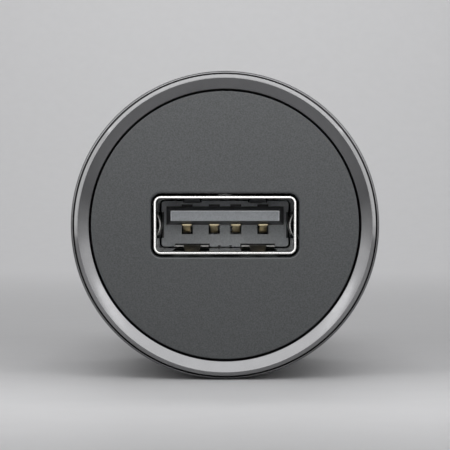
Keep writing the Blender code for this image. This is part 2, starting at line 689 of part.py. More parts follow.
def make_positive_terminal():
    """A cup on a tab: the spring presses into the cup, and the tab is soldered to the board."""
    outer = CUP_BORE + CUP_WALL
    profile = [
        (0, CUP_FRONT),
        (outer, CUP_FRONT),
        (outer, CUP_FLOOR + CUP_DEPTH),
        (CUP_BORE, CUP_FLOOR + CUP_DEPTH),
        (CUP_BORE, CUP_FLOOR),
        (0, CUP_FLOOR),
    ]
    cup = link_part(turned("positive_terminal", profile, SMALL_SEGMENTS), NICKEL)
    half = CUP_TAB_WIDTH / 2
    low = BOARD_TOP + PRESS_GAP
    depth = (INPUT_CAPACITOR_REAR + COMPONENT_GAP, CUP_FRONT + CUP_WALL / 2)
    join(cup, box("terminal_tab", (-half, half), (low, low + CUP_TAB_THICKNESS), depth))


def make_side_contact(side, sign):
    """A leaf that bows out of the barrel. Its object stands on the line that its foot flexes about."""
    line = [(CONTACT_FRONT, 0.0), (BOW_START, 0.0)]
    steps = 14
    for i in range(1, steps):
        share = i / steps
        line.append((BOW_START + CONTACT_BOW_LENGTH * share, BOW_HEIGHT * sin(pi * share) ** 2))
    line += [(BOW_END, 0.0), (BOW_END + CONTACT_END_LENGTH, 0.0)]
    outline = strip_outline([(sign * out, CONTACT_PIVOT - depth) for depth, out in line], CONTACT_SHEET)
    leaf = extruded(f"side_contact_{side}", [outline], CONTACT_WIDTH)
    # The outline lies in its own XY plane, and stands up as the charger's XZ plane.
    leaf.data.transform(Matrix.Rotation(pi / 2, 4, "X"))
    leaf.location = (sign * CONTACT_LINE, 0, -CONTACT_PIVOT)
    link_part(leaf, NICKEL)
    half = CONTACT_SHEET / 2
    low = BOARD_TOP + PRESS_GAP
    depth = (CONTACT_FRONT, CONTACT_FRONT + CONTACT_TAB_WIDTH)
    x = (sign * CONTACT_LINE - half, sign * CONTACT_LINE + half)
    join(leaf, box(f"contact_tab_{side}", x, (low, JOIN - CONTACT_WIDTH / 2), depth))


# Type A receptacle

# Each spring of the shell, by its wall: its widths at the root, the middle and the tip, the width of
# its window and its reach
FLOOR_SPRING = (
    (FLOOR_SPRING_SHOULDER, FLOOR_SPRING_WIDTH, FLOOR_SPRING_TIP_WIDTH),
    FLOOR_SPRING_WINDOW,
    FLOOR_SPRING_REACH,
)
ROOF_SPRING = (
    (ROOF_SPRING_WIDTH, ROOF_SPRING_WIDTH, ROOF_SPRING_TIP_WIDTH),
    ROOF_SPRING_WINDOW,
    ROOF_SPRING_REACH,
)
SIDE_SPRING = (
    (SIDE_SPRING_WIDTH, SIDE_SPRING_WIDTH, SIDE_SPRING_TIP_WIDTH),
    SIDE_SPRING_WINDOW,
    SIDE_SPRING_REACH,
)
# Where the springs stand: name, sizes, how the wall is turned from the floor, and the place along it
SPRINGS = (
    ("floor_left", FLOOR_SPRING, 0, -SPRING_OFFSET),
    ("floor_right", FLOOR_SPRING, 0, SPRING_OFFSET),
    ("roof_left", ROOF_SPRING, 180, SPRING_OFFSET),
    ("roof_right", ROOF_SPRING, 180, -SPRING_OFFSET),
    ("side_left", SIDE_SPRING, -90, 0),
    ("side_right", SIDE_SPRING, 90, 0),
)


def make_usb_shell():
    outer = rounded_rectangle(SHELL_WIDTH, SHELL_HEIGHT, SHELL_CORNER)
    inner = rounded_rectangle(SHELL_OPENING_WIDTH, SHELL_OPENING_HEIGHT, SHELL_CORNER - SHELL_SHEET)
    middle = -(SHELL_FRONT + SHELL_REAR) / 2
    shell = link_part(extruded("usb_shell", [outer, inner], SHELL_LENGTH, (0, 0, middle)), NICKEL)
    for name, size, turn, along in SPRINGS:
        width = SHELL_OPENING_WIDTH if size is SIDE_SPRING else SHELL_OPENING_HEIGHT
        add_spring(shell, name, size, width / 2, turn, along)
    for i, depth in enumerate(SHELL_LEG_DEPTHS):
        for side, sign in (("left", -1), ("right", 1)):
            join(shell, shell_leg(f"shell_leg_{side}_{i + 1}", sign, depth))


def add_spring(shell, name, size, wall, turn, along):
    """Cuts a window in one wall and bends a spring into it. As drawn, the wall is the floor."""
    (root_width, width, tip_width), window_width, reach = size
    sides = (along - window_width / 2, along + window_width / 2)
    depth = (SHELL_FRONT + SPRING_TIP - SPRING_TIP_GAP, SHELL_FRONT + SPRING_ROOT)
    window = box(name + "_window", sides, (-wall - 2 * SHELL_SHEET, -wall + SHELL_SHEET), depth)
    sheet = -wall - SHELL_SHEET / 2
    shoulder = SHELL_FRONT + SPRING_SHOULDER
    crest = SHELL_FRONT + SPRING_CREST
    points = [
        (SHELL_FRONT + SPRING_ROOT + JOIN, sheet, root_width),
        (SHELL_FRONT + SPRING_ROOT - JOIN, sheet, root_width),
        (shoulder, sheet + reach * SPRING_SHOULDER_RISE, root_width),
        (shoulder - SHELL_SHEET / 2, sheet + reach * 1.1 * SPRING_SHOULDER_RISE, width),
        (crest + SPRING_CREST_FLAT, sheet + reach * 0.95, width),
        (crest, sheet + reach, width),
        (crest - SPRING_CREST_FLAT, sheet + reach * 0.9, width),
        (SHELL_FRONT + SPRING_TIP, sheet + reach * SPRING_TIP_RISE, tip_width),
    ]
    leaf = bent_sheet(name + "_leaf", points, SHELL_SHEET, along)
    for tool in (window, leaf):
        tool.rotation_euler = (0, 0, radians(turn))
    cut(shell, window)
    join(shell, leaf)


def shell_leg(name, sign, depth):
    """A solder leg that runs from the shell's side wall down through the board."""
    wall = SHELL_OPENING_WIDTH / 2
    x = sorted((sign * wall, sign * (wall + SHELL_SHEET)))
    half = SHELL_LEG_WIDTH / 2
    low = BOARD_BOTTOM - SHELL_LEG_LENGTH
    return box(name, x, (low, -SHELL_HEIGHT / 2 + SHELL_CORNER + JOIN), (depth - half, depth + half))


def make_usb_insulator():
    width = SHELL_OPENING_WIDTH - 2 * WALL_GAP
    height = SHELL_OPENING_HEIGHT - 2 * WALL_GAP
    length = SHELL_REAR - SEAT_GAP - WALL_FRONT
    middle = -(WALL_FRONT + length / 2)
    outline = rounded_rectangle(width, height, WALL_CORNER)
    insulator = link_part(extruded("usb_insulator", [outline], length, (0, 0, middle)), BLACK_SATIN)
    join(insulator, tongue())
    for i, x in enumerate(POLE_PITCHES):
        cut(insulator, *pole_openings(i + 1, x))
    for name, size, turn, along in SPRINGS:
        edge = width if size is SIDE_SPRING else height
        cut(insulator, spring_notch(name + "_notch", size, edge / 2, turn, along))


def tongue():
    """The blade that carries the contacts, chamfered all round its front."""
    half = SHELL_OPENING_WIDTH / 2 - TONGUE_SIDE_GAP
    blade = box("tongue", (-half, half), (TONGUE_BOTTOM, TONGUE_TOP), (TONGUE_FRONT, WALL_FRONT + JOIN))
    bm = bmesh.new()
    bm.from_mesh(blade.data)
    front = [e for e in bm.edges if all(v.co.z > -TONGUE_FRONT - JOIN / 2 for v in e.verts)]
    bmesh.ops.bevel(bm, geom=front, offset=TONGUE_CHAMFER, segments=1, affect="EDGES", profile=0.5)
    bm.to_mesh(blade.data)
    bm.free()
    return blade


def pole_openings(number, x):
    """The slot through the wall, the groove under the tongue and the notch above it, for one pole."""
    half = POLE_SLOT_WIDTH / 2
    across = (x - half, x + half)
    top = TONGUE_BOTTOM + POLE_GROOVE
    rear = SHELL_REAR + JOIN
    height = (TONGUE_BOTTOM - POLE_SLOT_HEIGHT, top)
    slot = box(f"pole_slot_{number}", across, height, (WALL_FRONT - JOIN, rear))
    groove_front = TONGUE_FRONT + POLE_TIP_INSET - 2 * SEAT_GAP
    groove = box(f"pole_groove_{number}", across, (TONGUE_BOTTOM - JOIN, top), (groove_front, WALL_FRONT))
    height = (TONGUE_TOP + PRESS_GAP, TONGUE_TOP + PRESS_GAP + POLE_NOTCH_HEIGHT)
    depth = (WALL_FRONT - JOIN, WALL_FRONT + 4 * POLE_NOTCH_HEIGHT)
    notch = box(f"pole_notch_{number}", across, height, depth)
    return slot, groove, notch


def spring_notch(name, size, edge, turn, along):
    """Relief in the wall's edge, behind one of the shell's springs. As drawn, the edge is the lower one."""
    _, window_width, reach = size
    sides = (along - window_width / 2, along + window_width / 2)
    depth = (WALL_FRONT - JOIN, WALL_FRONT + SPRING_NOTCH_DEPTH)
    notch = box(name, sides, (-edge - JOIN, -edge + reach * SPRING_NOTCH_RISE), depth)
    notch.rotation_euler = (0, 0, radians(turn))
    return notch


POLE_NAMES = ("contact_supply", "contact_data_minus", "contact_data_plus", "contact_ground")


def make_usb_contacts():
    """Sprung poles: tail in the board, through the wall, bowed under the tongue, tip in its groove."""
    straight = TONGUE_BOTTOM - POLE_SLOT_HEIGHT / 3
    tail = SHELL_REAR + POLE_TAIL_GAP
    tip = TONGUE_FRONT + POLE_TIP_INSET
    crest = TONGUE_FRONT + POLE_CREST_INSET
    crest_height = TONGUE_BOTTOM - POLE_BOW + POLE_SHEET / 2
    tip_height = TONGUE_BOTTOM + POLE_GROOVE / 3
    line = [(tip, tip_height)]
    steps = 5
    for i in range(1, steps):
        share = i / steps
        drop = sin(share * pi / 2) ** 1.5
        line.append((tip + (crest - tip) * share, tip_height + (crest_height - tip_height) * drop))
    steps = 6
    for i in range(steps + 1):
        share = i / steps
        rise = (1 - cos(pi * share)) / 2
        line.append((crest + (WALL_FRONT - crest) * share, crest_height + (straight - crest_height) * rise))
    line += [
        (tail - POLE_SHEET, straight),
        (tail, straight - POLE_SHEET),
        (tail, BOARD_BOTTOM - SHELL_LEG_LENGTH),
    ]
    points = [(depth, height, POLE_WIDTH) for depth, height in line]
    for name, x in zip(POLE_NAMES, POLE_PITCHES):
        link_part(bent_sheet(name, points, POLE_SHEET, x), GOLD)


# Circuit board and what is soldered to it


def make_circuit_board():
    wide, narrow, corner = BOARD_HALF_WIDTH, BOARD_STEM_HALF_WIDTH, BOARD_CORNER
    half = [
        (wide - corner, -BOARD_FRONT),
        (wide, -BOARD_FRONT - corner),
        (wide, -BOARD_STEP + corner),
        (wide - corner, -BOARD_STEP),
        (narrow, -BOARD_STEP),
        (narrow, -BOARD_REAR + corner),
        (narrow - corner, -BOARD_REAR),
    ]
    outline = half + [(-x, z) for x, z in reversed(half)]
    holes = [hole_outline(x, depth, *size) for x, depth, size in board_holes()]
    board = extruded("circuit_board", [outline, *holes], BOARD_THICKNESS)
    # The outline's Y is the charger's Z, so it is turned to lie flat.
    board.data.transform(Matrix.Rotation(pi / 2, 4, "X"))
    board.location = (0, (BOARD_TOP + BOARD_BOTTOM) / 2, 0)
    link_part(board, BOARD_GREEN)


def board_holes():
    """Where the shell's legs and the poles' tails pass, and the half sizes of each hole."""
    leg_x = SHELL_OPENING_WIDTH / 2 + SHELL_SHEET / 2
    leg_size = (SHELL_SHEET / 2 + 2 * SEAT_GAP, SHELL_LEG_WIDTH / 2 + 2 * SEAT_GAP)
    tail_size = (POLE_WIDTH / 2 + SEAT_GAP, POLE_SHEET / 2 + 2 * SEAT_GAP)
    legs = [(sign * leg_x, depth, leg_size) for depth in SHELL_LEG_DEPTHS for sign in (-1, 1)]
    tails = [(x, SHELL_REAR + POLE_TAIL_GAP, tail_size) for x in POLE_PITCHES]
    return legs + tails


def hole_outline(x, depth, half_width, half_length):
    return [
        (x - half_width, -depth - half_length),
        (x - half_width, -depth + half_length),
        (x + half_width, -depth + half_length),
        (x + half_width, -depth - half_length),
    ]


def stand(obj, x, depth, on_top=True):
    """Places a piece drawn upright round its own base, on the board's top or hung from its underside."""
    height = BOARD_TOP + PRESS_GAP if on_top else BOARD_BOTTOM - PRESS_GAP
    obj.location = (x, height, -depth)
    obj.rotation_euler = (-pi / 2 if on_top else pi / 2, 0, 0)
    return obj


def make_capacitor(name, x, depth):
    """An aluminium can with a crimp near its foot and a rolled top, on a square base."""
    radius, top = CAPACITOR_RADIUS, CAPACITOR_HEIGHT
    foot, roll = CAPACITOR_BASE_HEIGHT, CAN_ROLL
    upright = [
        (0, foot - JOIN),
        (radius, foot - JOIN),
        (radius, foot + CAN_CRIMP),
        (radius - CAN_CRIMP, foot + 2 * CAN_CRIMP),
        (radius, foot + 3 * CAN_CRIMP),
        (radius, top - roll),
        (radius - roll, top),
        (radius - 2 * roll, top),
        (radius - 3 * roll, top - roll / 2),
        (0, top - roll / 2),
    ]
    can = turned(name, [(r, -height) for r, height in upright], SMALL_SEGMENTS)
    base = [rounded_rectangle(CAPACITOR_BASE, CAPACITOR_BASE, CAPACITOR_BASE_CORNER, 2)]
    stand(can, x, depth)
    link_part(can, CAN)
    foot_block = extruded(name + "_base", base, foot)
    foot_block.data.transform(Matrix.Translation((0, 0, foot / 2)))
    join(can, stand(foot_block, x, depth))


def make_inductor(x, depth):
    """A ferrite drum with one layer of round wire between its flanges."""
    radius, top, flange, hub = INDUCTOR_RADIUS, INDUCTOR_HEIGHT, INDUCTOR_FLANGE, INDUCTOR_HUB_RADIUS
    drum = [
        (0, 0),
        (radius, 0),
        (radius, flange),
        (hub, flange),
        (hub, top - flange),
        (radius, top - flange),
        (radius, top),
        (0, top),
    ]
    core = turned("inductor_core", [(r, -height) for r, height in drum], COIL_SEGMENTS)
    link_part(stand(core, x, depth), FERRITE)
    low, high = flange + WINDING_GAP, top - flange - WINDING_GAP
    wire = (high - low) / WINDING_TURNS / 2
    outside = radius - 2 * WINDING_GAP - wire
    coil = [(hub + WINDING_GAP, high), (hub + WINDING_GAP, low)]
    for i in range(WINDING_TURNS):
        middle = low + wire * (2 * i + 1)
        coil += [(outside + wire * cos(a), middle + wire * sin(a)) for a in (-pi / 2, -pi / 6, pi / 6)]
    coil.append((outside, high))
    winding = turned("inductor_winding", [(r, -height) for r, height in coil], COIL_SEGMENTS)
    link_part(stand(winding, x, depth), COPPER)


def gull_wing(name, body_half, body_top, width, offset):
    """One lead strip that runs through a package and down to the board on both sides."""
    foot = LEAD_SHEET / 2 + LEAD_LIFT
    half = [
        (body_half + LEAD_BEND, body_top * LEAD_HEIGHT_SHARE),
        (body_half + 2 * LEAD_BEND, foot),
        (body_half + LEAD_REACH, foot),
    ]
    line = [(-a, b) for a, b in reversed(half)] + half
    strip = extruded(name, [strip_outline(line, LEAD_SHEET)], width)
    strip.data.transform(Matrix.Translation((0, offset, 0)) @ Matrix.Rotation(pi / 2, 4, "X"))
    return strip


def make_package(name, size, leads, depth):
    """A moulded chip of (across leads, along, height) with pairs of gull-wing leads, under the board."""
    across, along, height = size
    bm = bmesh.new()
    bmesh.ops.create_cube(bm, size=1.0)
    middle = (CHIP_LIFT + height) / 2
    size = Matrix.Diagonal((across, along, height - CHIP_LIFT, 1))
    bmesh.ops.transform(bm, verts=bm.verts, matrix=Matrix.Translation((0, 0, middle)) @ size)
    upper = [v for v in bm.verts if v.co.z > height / 2]
    bmesh.ops.scale(bm, verts=upper, vec=(PACKAGE_TAPER, PACKAGE_TAPER, 1.0))
    chip = mesh_object(name, bm)
    link_part(stand(chip, 0, depth, on_top=False), CHIP)
    pitch = along / max(leads, 1)
    for i in range(leads):
        offset = (i - (leads - 1) / 2) * pitch
        lead = gull_wing(f"{name}_lead_{i + 1}", across / 2, height, pitch * LEAD_WIDTH_SHARE, offset)
        join(chip, stand(lead, 0, depth, on_top=False))


def make_chip_part(name, size, material, x, depth):
    """A small block with end caps that stand slightly proud of it, under the board."""
    length, width, height = size
    cap, proud = length * END_CAP_SHARE, END_CAP_PROUD
    half = (length - cap) / 2
    body = box(name, (-half, half), (-width / 2, width / 2), (-height + proud, -proud))
    link_part(stand(body, x, depth, on_top=False), material)
    for sign in (-1, 1):
        ends = sorted((sign * length / 2, sign * (length / 2 - cap)))
        half = width / 2 + proud
        end = box(f"{name}_cap_{'left' if sign < 0 else 'right'}", ends, (-half, half), (-height, 0))
        join(body, stand(end, x, depth, on_top=False))


def make_electronics():
    """The tall parts stand in a row on the board, the flat ones hang in rows under it."""
    make_capacitor("output_capacitor", 0, OUTPUT_CAPACITOR_DEPTH)
    make_inductor(0, INDUCTOR_DEPTH)
    make_capacitor("input_capacitor", 0, INPUT_CAPACITOR_DEPTH)
    make_package("converter_chip", CONVERTER_SIZE, 4, OUTPUT_CAPACITOR_DEPTH)
    control_depth = OUTPUT_CAPACITOR_DEPTH + (CONVERTER_SIZE[1] + CONTROL_CHIP_SIZE[1]) / 2 + COMPONENT_GAP
    make_package("charge_control_chip", CONTROL_CHIP_SIZE, 3, control_depth)
    make_package("rectifier_diode", DIODE_SIZE, 1, INDUCTOR_DEPTH + COMPONENT_GAP)
    ceramic_depth = INDUCTOR_DEPTH + (DIODE_SIZE[1] + CERAMIC_SIZE[1]) / 2 + 3 * COMPONENT_GAP
    for i in range(3):
        x = (i - 1) * CERAMIC_PITCH
        make_chip_part(f"ceramic_capacitor_{i + 1}", CERAMIC_SIZE, CERAMIC, x, ceramic_depth)
    resistor_depth = ceramic_depth + (CERAMIC_SIZE[1] + RESISTOR_SIZE[1]) / 2 + 2 * COMPONENT_GAP
    for i in range(4):
        x = (i - 1.5) * RESISTOR_PITCH
        make_chip_part(f"resistor_{i + 1}", RESISTOR_SIZE, CHIP, x, resistor_depth)
    make_chip_part("board_fuse", FUSE_SIZE, CERAMIC, 0, BOARD_REAR - 2 * FUSE_SIZE[1])


make_bezel_ring()
make_head_sleeve()
make_face_plate()
make_main_housing()
make_nose_cap()
make_centre_pin()
make_pin_spring()
make_positive_terminal()
make_side_contact("left", -1)
make_side_contact("right", 1)
make_usb_shell()
make_usb_insulator()
make_usb_contacts()
make_circuit_board()
make_electronics()
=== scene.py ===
"""The look of a USB car charger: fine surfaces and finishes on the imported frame, on a pale studio floor."""

from math import cos, pi, radians, sin, sqrt, tan

import bmesh
import bpy
from mathutils import Matrix, Vector


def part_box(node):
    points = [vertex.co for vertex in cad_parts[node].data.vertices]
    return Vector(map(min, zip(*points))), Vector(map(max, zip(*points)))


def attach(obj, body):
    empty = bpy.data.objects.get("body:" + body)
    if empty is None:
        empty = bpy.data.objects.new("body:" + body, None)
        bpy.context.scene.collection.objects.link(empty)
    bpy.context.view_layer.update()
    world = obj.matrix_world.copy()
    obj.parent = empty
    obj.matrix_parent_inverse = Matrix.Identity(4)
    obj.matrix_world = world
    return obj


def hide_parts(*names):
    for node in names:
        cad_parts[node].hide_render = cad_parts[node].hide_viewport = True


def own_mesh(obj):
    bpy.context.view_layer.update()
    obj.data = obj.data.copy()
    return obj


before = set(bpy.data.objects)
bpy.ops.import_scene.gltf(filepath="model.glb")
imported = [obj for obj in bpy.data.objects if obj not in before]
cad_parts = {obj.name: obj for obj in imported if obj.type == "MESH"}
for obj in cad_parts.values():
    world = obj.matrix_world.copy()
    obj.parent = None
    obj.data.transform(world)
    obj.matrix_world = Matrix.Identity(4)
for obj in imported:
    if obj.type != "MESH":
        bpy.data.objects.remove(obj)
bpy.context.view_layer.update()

MM = 0.001
MERGE_DISTANCE = 0.0005 * MM

# Places read from the frame. A depth is counted from the bezel's front edge, a height from the axis.
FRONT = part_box("bezel_ring")[0].y
SLEEVE_LOW, SLEEVE_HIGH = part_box("head_sleeve")
AXIS_HEIGHT = (SLEEVE_LOW.z + SLEEVE_HIGH.z) / 2


def node_radius(node):
    low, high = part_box(node)
    return (high.z - low.z) / 2


def node_front(node):
    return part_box(node)[0].y - FRONT


def node_rear(node):
    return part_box(node)[1].y - FRONT


# Sizes that several parts share
FINE_EDGE = 0.04 * MM
PRESS_GAP = 0.05 * MM
SEAT_GAP = 2 * PRESS_GAP
CUT_OVERLAP = 0.1 * MM
CUT_REACH = 1 * MM
# Share of a face's normal along an axis, above which the face counts as flat to it or as looking its way
FLAT_FACE = 0.999
LOOKS_ALONG = 0.7

# Sizes of the head
HEAD_RADIUS = node_radius("head_sleeve")
HEAD_LENGTH = node_rear("head_sleeve")
HEAD_SEGMENTS = 384
BEZEL_RADIUS = node_radius("bezel_ring")
BEZEL_REAR = node_rear("bezel_ring")
BEZEL_CHAMFER = 0.34 * MM
BEZEL_RIM_LAND = 0.35 * MM
BEVEL_WIDTH = 0.96 * MM
BEVEL_FOOT_ROUND = 1.5 * FINE_EDGE
CREST_RADIUS = BEZEL_RADIUS - BEZEL_CHAMFER
BEZEL_OPENING = CREST_RADIUS - BEVEL_WIDTH
LEDGE_RADIUS = BEZEL_OPENING - 0.8 * MM
SLEEVE_FRONT = node_front("head_sleeve")
SLEEVE_BORE = HEAD_RADIUS - 1.2 * MM
SLEEVE_FLOOR = 1.5 * MM
SLEEVE_LIP_BORE = BEZEL_RADIUS + 0.19 * MM
SLEEVE_LIP_DEPTH = 2.5 * MM
SLEEVE_LIP_STRAIGHT = 0.9 * SLEEVE_LIP_DEPTH
SLEEVE_LIP_ROUND = 0.17 * MM
SLEEVE_REAR_ROUND = 0.8 * MM
PLATE_FRONT = node_front("face_plate")
PLATE_RADIUS = BEZEL_OPENING - 0.20 * MM
PLATE_THICKNESS = 2.2 * MM
PLATE_EDGE_ROUND = 0.08 * MM
CUTOUT_GAP = 0.23 * MM
CUTOUT_ROUND = 0.22 * MM
CUTOUT_ROUND_TURNS = (8, 20, 32, 44, 60, 90)
CUTOUT_FLARE = 1.5 * CUTOUT_ROUND

# Sizes of the shell
SHELL_SHEET = 0.195 * MM
SHELL_CORNER = 0.65 * MM
SHELL_FRONT = node_front("usb_shell")
SHELL_REAR = node_rear("usb_shell")
SHELL_WIDTH = 12.59 * MM + 2 * SHELL_SHEET
SHELL_TOP = 2.435 * MM + SHELL_SHEET
SHELL_BOTTOM = -2.47 * MM - SHELL_SHEET
SHELL_HEIGHT = SHELL_TOP - SHELL_BOTTOM
SHELL_MIDDLE = (SHELL_TOP + SHELL_BOTTOM) / 2
SHELL_FLOOR_RISE = 0.25 * MM
SHELL_FLARE = 9.0 * MM
SHELL_OUTER_ROUND = 0.3 * SHELL_SHEET
SHELL_INNER_ROUND = 0.12 * SHELL_SHEET

# Springs of the shell. Their depths are counted from the shell's front.
SPRING_OFFSET = 3.16 * MM
SPRING_TIP = 2.6 * MM
SPRING_TIP_GAP = 0.4 * MM
SPRING_SHOULDER = 7.2 * MM
SPRING_ROOT = 11.3 * MM
SHOULDER_REACH = 0.96
SHOULDER_SHEET = 0.75 * SHELL_SHEET
SPRING_EDGE = SHELL_SHEET / 4
# Depth, and share of the finger's reach
FINGER_LINE = ((4.5 * MM, 0.95), (4.0 * MM, 1.0), (3.5 * MM, 0.85))
FINGER_TIP_REACH = 0.1
FINGER_INWARD = 0.975
# Depth, and share of the leaf's reach
SIDE_SPRING_LINE = (
    (3.2 * MM, 0.72),
    (3.25 * MM, 0.78),
    (3.7 * MM, 0.94),
    (4.4 * MM, 1.0),
    (5.6 * MM, 0.9),
    (9.7 * MM, 0.3),
)
SIDE_SPRING_SHEET = 0.65 * SHELL_SHEET
SIDE_SPRING_EDGE = 0.35
# Widths at the shoulder, in the middle and at the tip
FLOOR_WIDTHS = (3.2 * MM, 1.52 * MM, 1.22 * MM)
ROOF_WIDTHS = (1.7 * MM, 1.5 * MM, 1.3 * MM)
SIDE_WIDTHS = (1.92 * MM, 1.92 * MM, 1.92 * MM)
FLOOR_WINDOW, ROOF_WINDOW, SIDE_WINDOW = 3.35 * MM, 1.85 * MM, 2.5 * MM
FLOOR_REACH, ROOF_REACH, SIDE_REACH = 0.59 * MM, 0.33 * MM, 0.46 * MM
# Each spring: name, widths, width of its window, reach, its wall's turn, its place along the wall
SPRINGS = (
    ("floor_spring_left", FLOOR_WIDTHS, FLOOR_WINDOW, FLOOR_REACH, 0, -SPRING_OFFSET),
    ("floor_spring_right", FLOOR_WIDTHS, FLOOR_WINDOW, FLOOR_REACH, 0, SPRING_OFFSET),
    ("roof_spring_left", ROOF_WIDTHS, ROOF_WINDOW, ROOF_REACH, 180, SPRING_OFFSET),
    ("roof_spring_right", ROOF_WIDTHS, ROOF_WINDOW, ROOF_REACH, 180, -SPRING_OFFSET),
    ("side_spring_left", SIDE_WIDTHS, SIDE_WINDOW, SIDE_REACH, 90, 0),
    ("side_spring_right", SIDE_WIDTHS, SIDE_WINDOW, SIDE_REACH, -90, 0),
)
# Where the shell is painted dark as painted shade: depth where it begins, distance in from the sides, height
# in the side walls
PAINTED_SHADE_DEPTH = 0.8 * SPRING_TIP
PAINTED_SHADE_INSET = 1 * MM
PAINTED_SHADE_HEIGHT = 1.5 * MM

# Sizes of the insulator
WALL_FRONT = SHELL_FRONT + 9.2 * MM
WALL_WIDTH = 12.30 * MM
WALL_TOP = 2.36 * MM
WALL_BOTTOM = -2.10 * MM
WALL_CORNER = 0.3 * MM
WALL_ROUND = 0.05 * MM
TONGUE_FRONT = node_front("usb_insulator")
TONGUE_WIDTH = 10.92 * MM
TONGUE_BOTTOM = 0.02 * MM
TONGUE_TOP = TONGUE_BOTTOM + 1.71 * MM
TONGUE_CORNER = 0.05 * MM
TONGUE_EDGE = 0.03 * MM
TONGUE_CHAMFER_DEPTH = 1.8 * MM
# How far the chamfer takes in the sides, the top and the bottom
TONGUE_CHAMFERS = (0.46 * MM, 0.41 * MM, 0.35 * MM)
# The front's edge carries a lighter painted highlight, but not where its faces look down by more than this
HIGHLIGHT_LOWEST_LOOK = -0.2
RELIEF_DEPTH = 1.5 * MM
RELIEF_REACH = 0.5
NICK_PLACE = 0.55 * MM
NICK_WIDTH = 0.24 * MM
NICK_HEIGHT = 0.14 * MM

# Sizes of the poles. Their setbacks are counted from the tongue's front.
POLE_NAMES = ("contact_supply", "contact_data_minus", "contact_data_plus", "contact_ground")
POLE_PITCHES = (-3.54 * MM, -1.01 * MM, 1.01 * MM, 3.54 * MM)
POLE_WIDTH = 0.70 * MM
POLE_SHEET = 0.12 * MM
POLE_EDGE = 0.4 * POLE_SHEET
POLE_BOW = 0.74 * MM
POLE_TIP_SETBACK = 1.0 * MM
POLE_CREST_SETBACK = 2.4 * MM
POLE_DROP_LENGTH = 0.95 * MM
POLE_STRAIGHT_DROP = 0.3 * MM
POLE_LIP_WIDTH = 0.94 * MM
POLE_LIP_TIP_WIDTH = 0.9 * POLE_LIP_WIDTH
POLE_LIP_TAPER = 0.03 * MM
POLE_LIP_LENGTH = 0.1 * MM
POLE_NARROWING = 0.02 * MM
POLE_SLOT_SPREAD = 1.035
POLE_SLOT_WIDTH = 1.07 * MM
POLE_SLOT_HEIGHT = 0.9 * MM
POLE_GROOVE = 0.36 * MM
POLE_GROOVE_SETBACK = 1.2 * MM
POLE_NOTCH_HEIGHT = 0.22 * MM

# Sizes of the housing
CRADLE_FRONT = node_front("main_housing")
CRADLE_RADIUS = 10.44 * MM
CRADLE_BORE = 9.24 * MM
FLANGE_FRONT = 22.9 * MM
FLANGE_REAR = 24.4 * MM
FLANGE_RADIUS = node_radius("main_housing")
BARREL_RADIUS = 10.35 * MM
BARREL_TAIL_RADIUS = 10.15 * MM
BARREL_BORE = 8.9 * MM
BARREL_END = 53.0 * MM
BARREL_END_WALL = 1.2 * MM
BARREL_END_ROUND = 0.5 * MM
NECK_RADIUS = 8.3 * MM
NECK_BORE = NECK_RADIUS - 1.1 * MM
NECK_FILLET = 0.15 * MM
NECK_END = node_rear("main_housing")

# Sizes of the side contacts and their windows
CONTACT_SHEET = 0.5 * MM
CONTACT_EDGE = 0.12 * MM
CONTACT_WIDTH = 4.8 * MM
CONTACT_LINE = 8.2003 * MM
CONTACT_FRONT = node_front("side_contact_left")
CONTACT_REAR = node_rear("side_contact_left")
CONTACT_BOW = (30.8 * MM, 49.8 * MM)
CONTACT_BOW_HEIGHT = 3.2 * MM
CONTACT_LEAD = 0.5 * MM
WINDOW_GAP = 0.4 * MM
WINDOW_CORNER = 0.6 * MM
WINDOW_SIDES = (0.5 * CONTACT_LINE, 1.2 * BARREL_RADIUS)

# Sizes of the nose
CAP_RADIUS = node_radius("nose_cap")
CAP_FRONT = node_front("nose_cap")
CAP_END = node_rear("nose_cap")
CAP_END_WALL = 1.4 * MM
CAP_SEGMENTS = 252
CAP_FRONT_ROUND = 0.12 * MM
CAP_END_ROUND = 1.0 * MM
CAP_BORE_ROUND = 0.2 * MM
FLUTE_COUNT = 14
FLUTE_RADIUS = 0.9 * MM
FLUTE_DEPTH = 0.3 * MM
# Depth behind the cap's front, and share of the flute's radius
FLUTE_LINE = (
    (-FLUTE_RADIUS, 1.0),
    (2.5 * MM, 1.0),
    (2.9 * MM, 0.9),
    (3.2 * MM, 0.75),
    (3.4 * MM, 0.4),
)
PIN_RADIUS = 2.55 * MM
PIN_GUIDE_GAP = 0.25 * MM
PIN_TIP = node_rear("centre_pin")
PIN_DOME = 1.2 * MM
PIN_FLANGE_RADIUS = 3.9 * MM
PIN_FLANGE = (56.1 * MM, 57.5 * MM)
PIN_TAIL_FRONT = node_front("centre_pin")
PIN_TAIL_RADIUS = 1.6 * MM
PIN_TAIL_ROUND = 0.15 * MM
PIN_SEGMENTS = 128
COIL_WIRE = 0.25 * MM
COIL_RADIUS = 2.45 * MM
COIL_TURNS = 6
COIL_END_CLOSENESS = 0.6


# Tools


def link(obj):
    bpy.context.scene.collection.objects.link(obj)
    return obj


def mesh_piece(name, bm):
    mesh = bpy.data.meshes.new(name)
    bm.to_mesh(mesh)
    bm.free()
    return link(bpy.data.objects.new(name, mesh))


def apply_modifiers(obj):
    """Keeps the shape that the modifiers make, as the object's own mesh."""
    bpy.context.view_layer.update()
    evaluated = obj.evaluated_get(bpy.context.evaluated_depsgraph_get())
    mesh = bpy.data.meshes.new_from_object(evaluated)
    obj.modifiers.clear()
    obj.data = mesh
    return obj


def boolean(target, tool, operation="DIFFERENCE"):
    """Cuts or joins with a tool, which is used up, and clears away edges without length."""
    modifier = target.modifiers.new(operation.lower(), "BOOLEAN")
    modifier.operation = operation
    modifier.solver = "EXACT"
    modifier.object = tool
    apply_modifiers(target)
    bpy.data.objects.remove(tool)
    bm = bmesh.new()
    bm.from_mesh(target.data)
    bmesh.ops.dissolve_degenerate(bm, dist=MERGE_DISTANCE, edges=bm.edges)
    bm.to_mesh(target.data)
    bm.free()
    return target


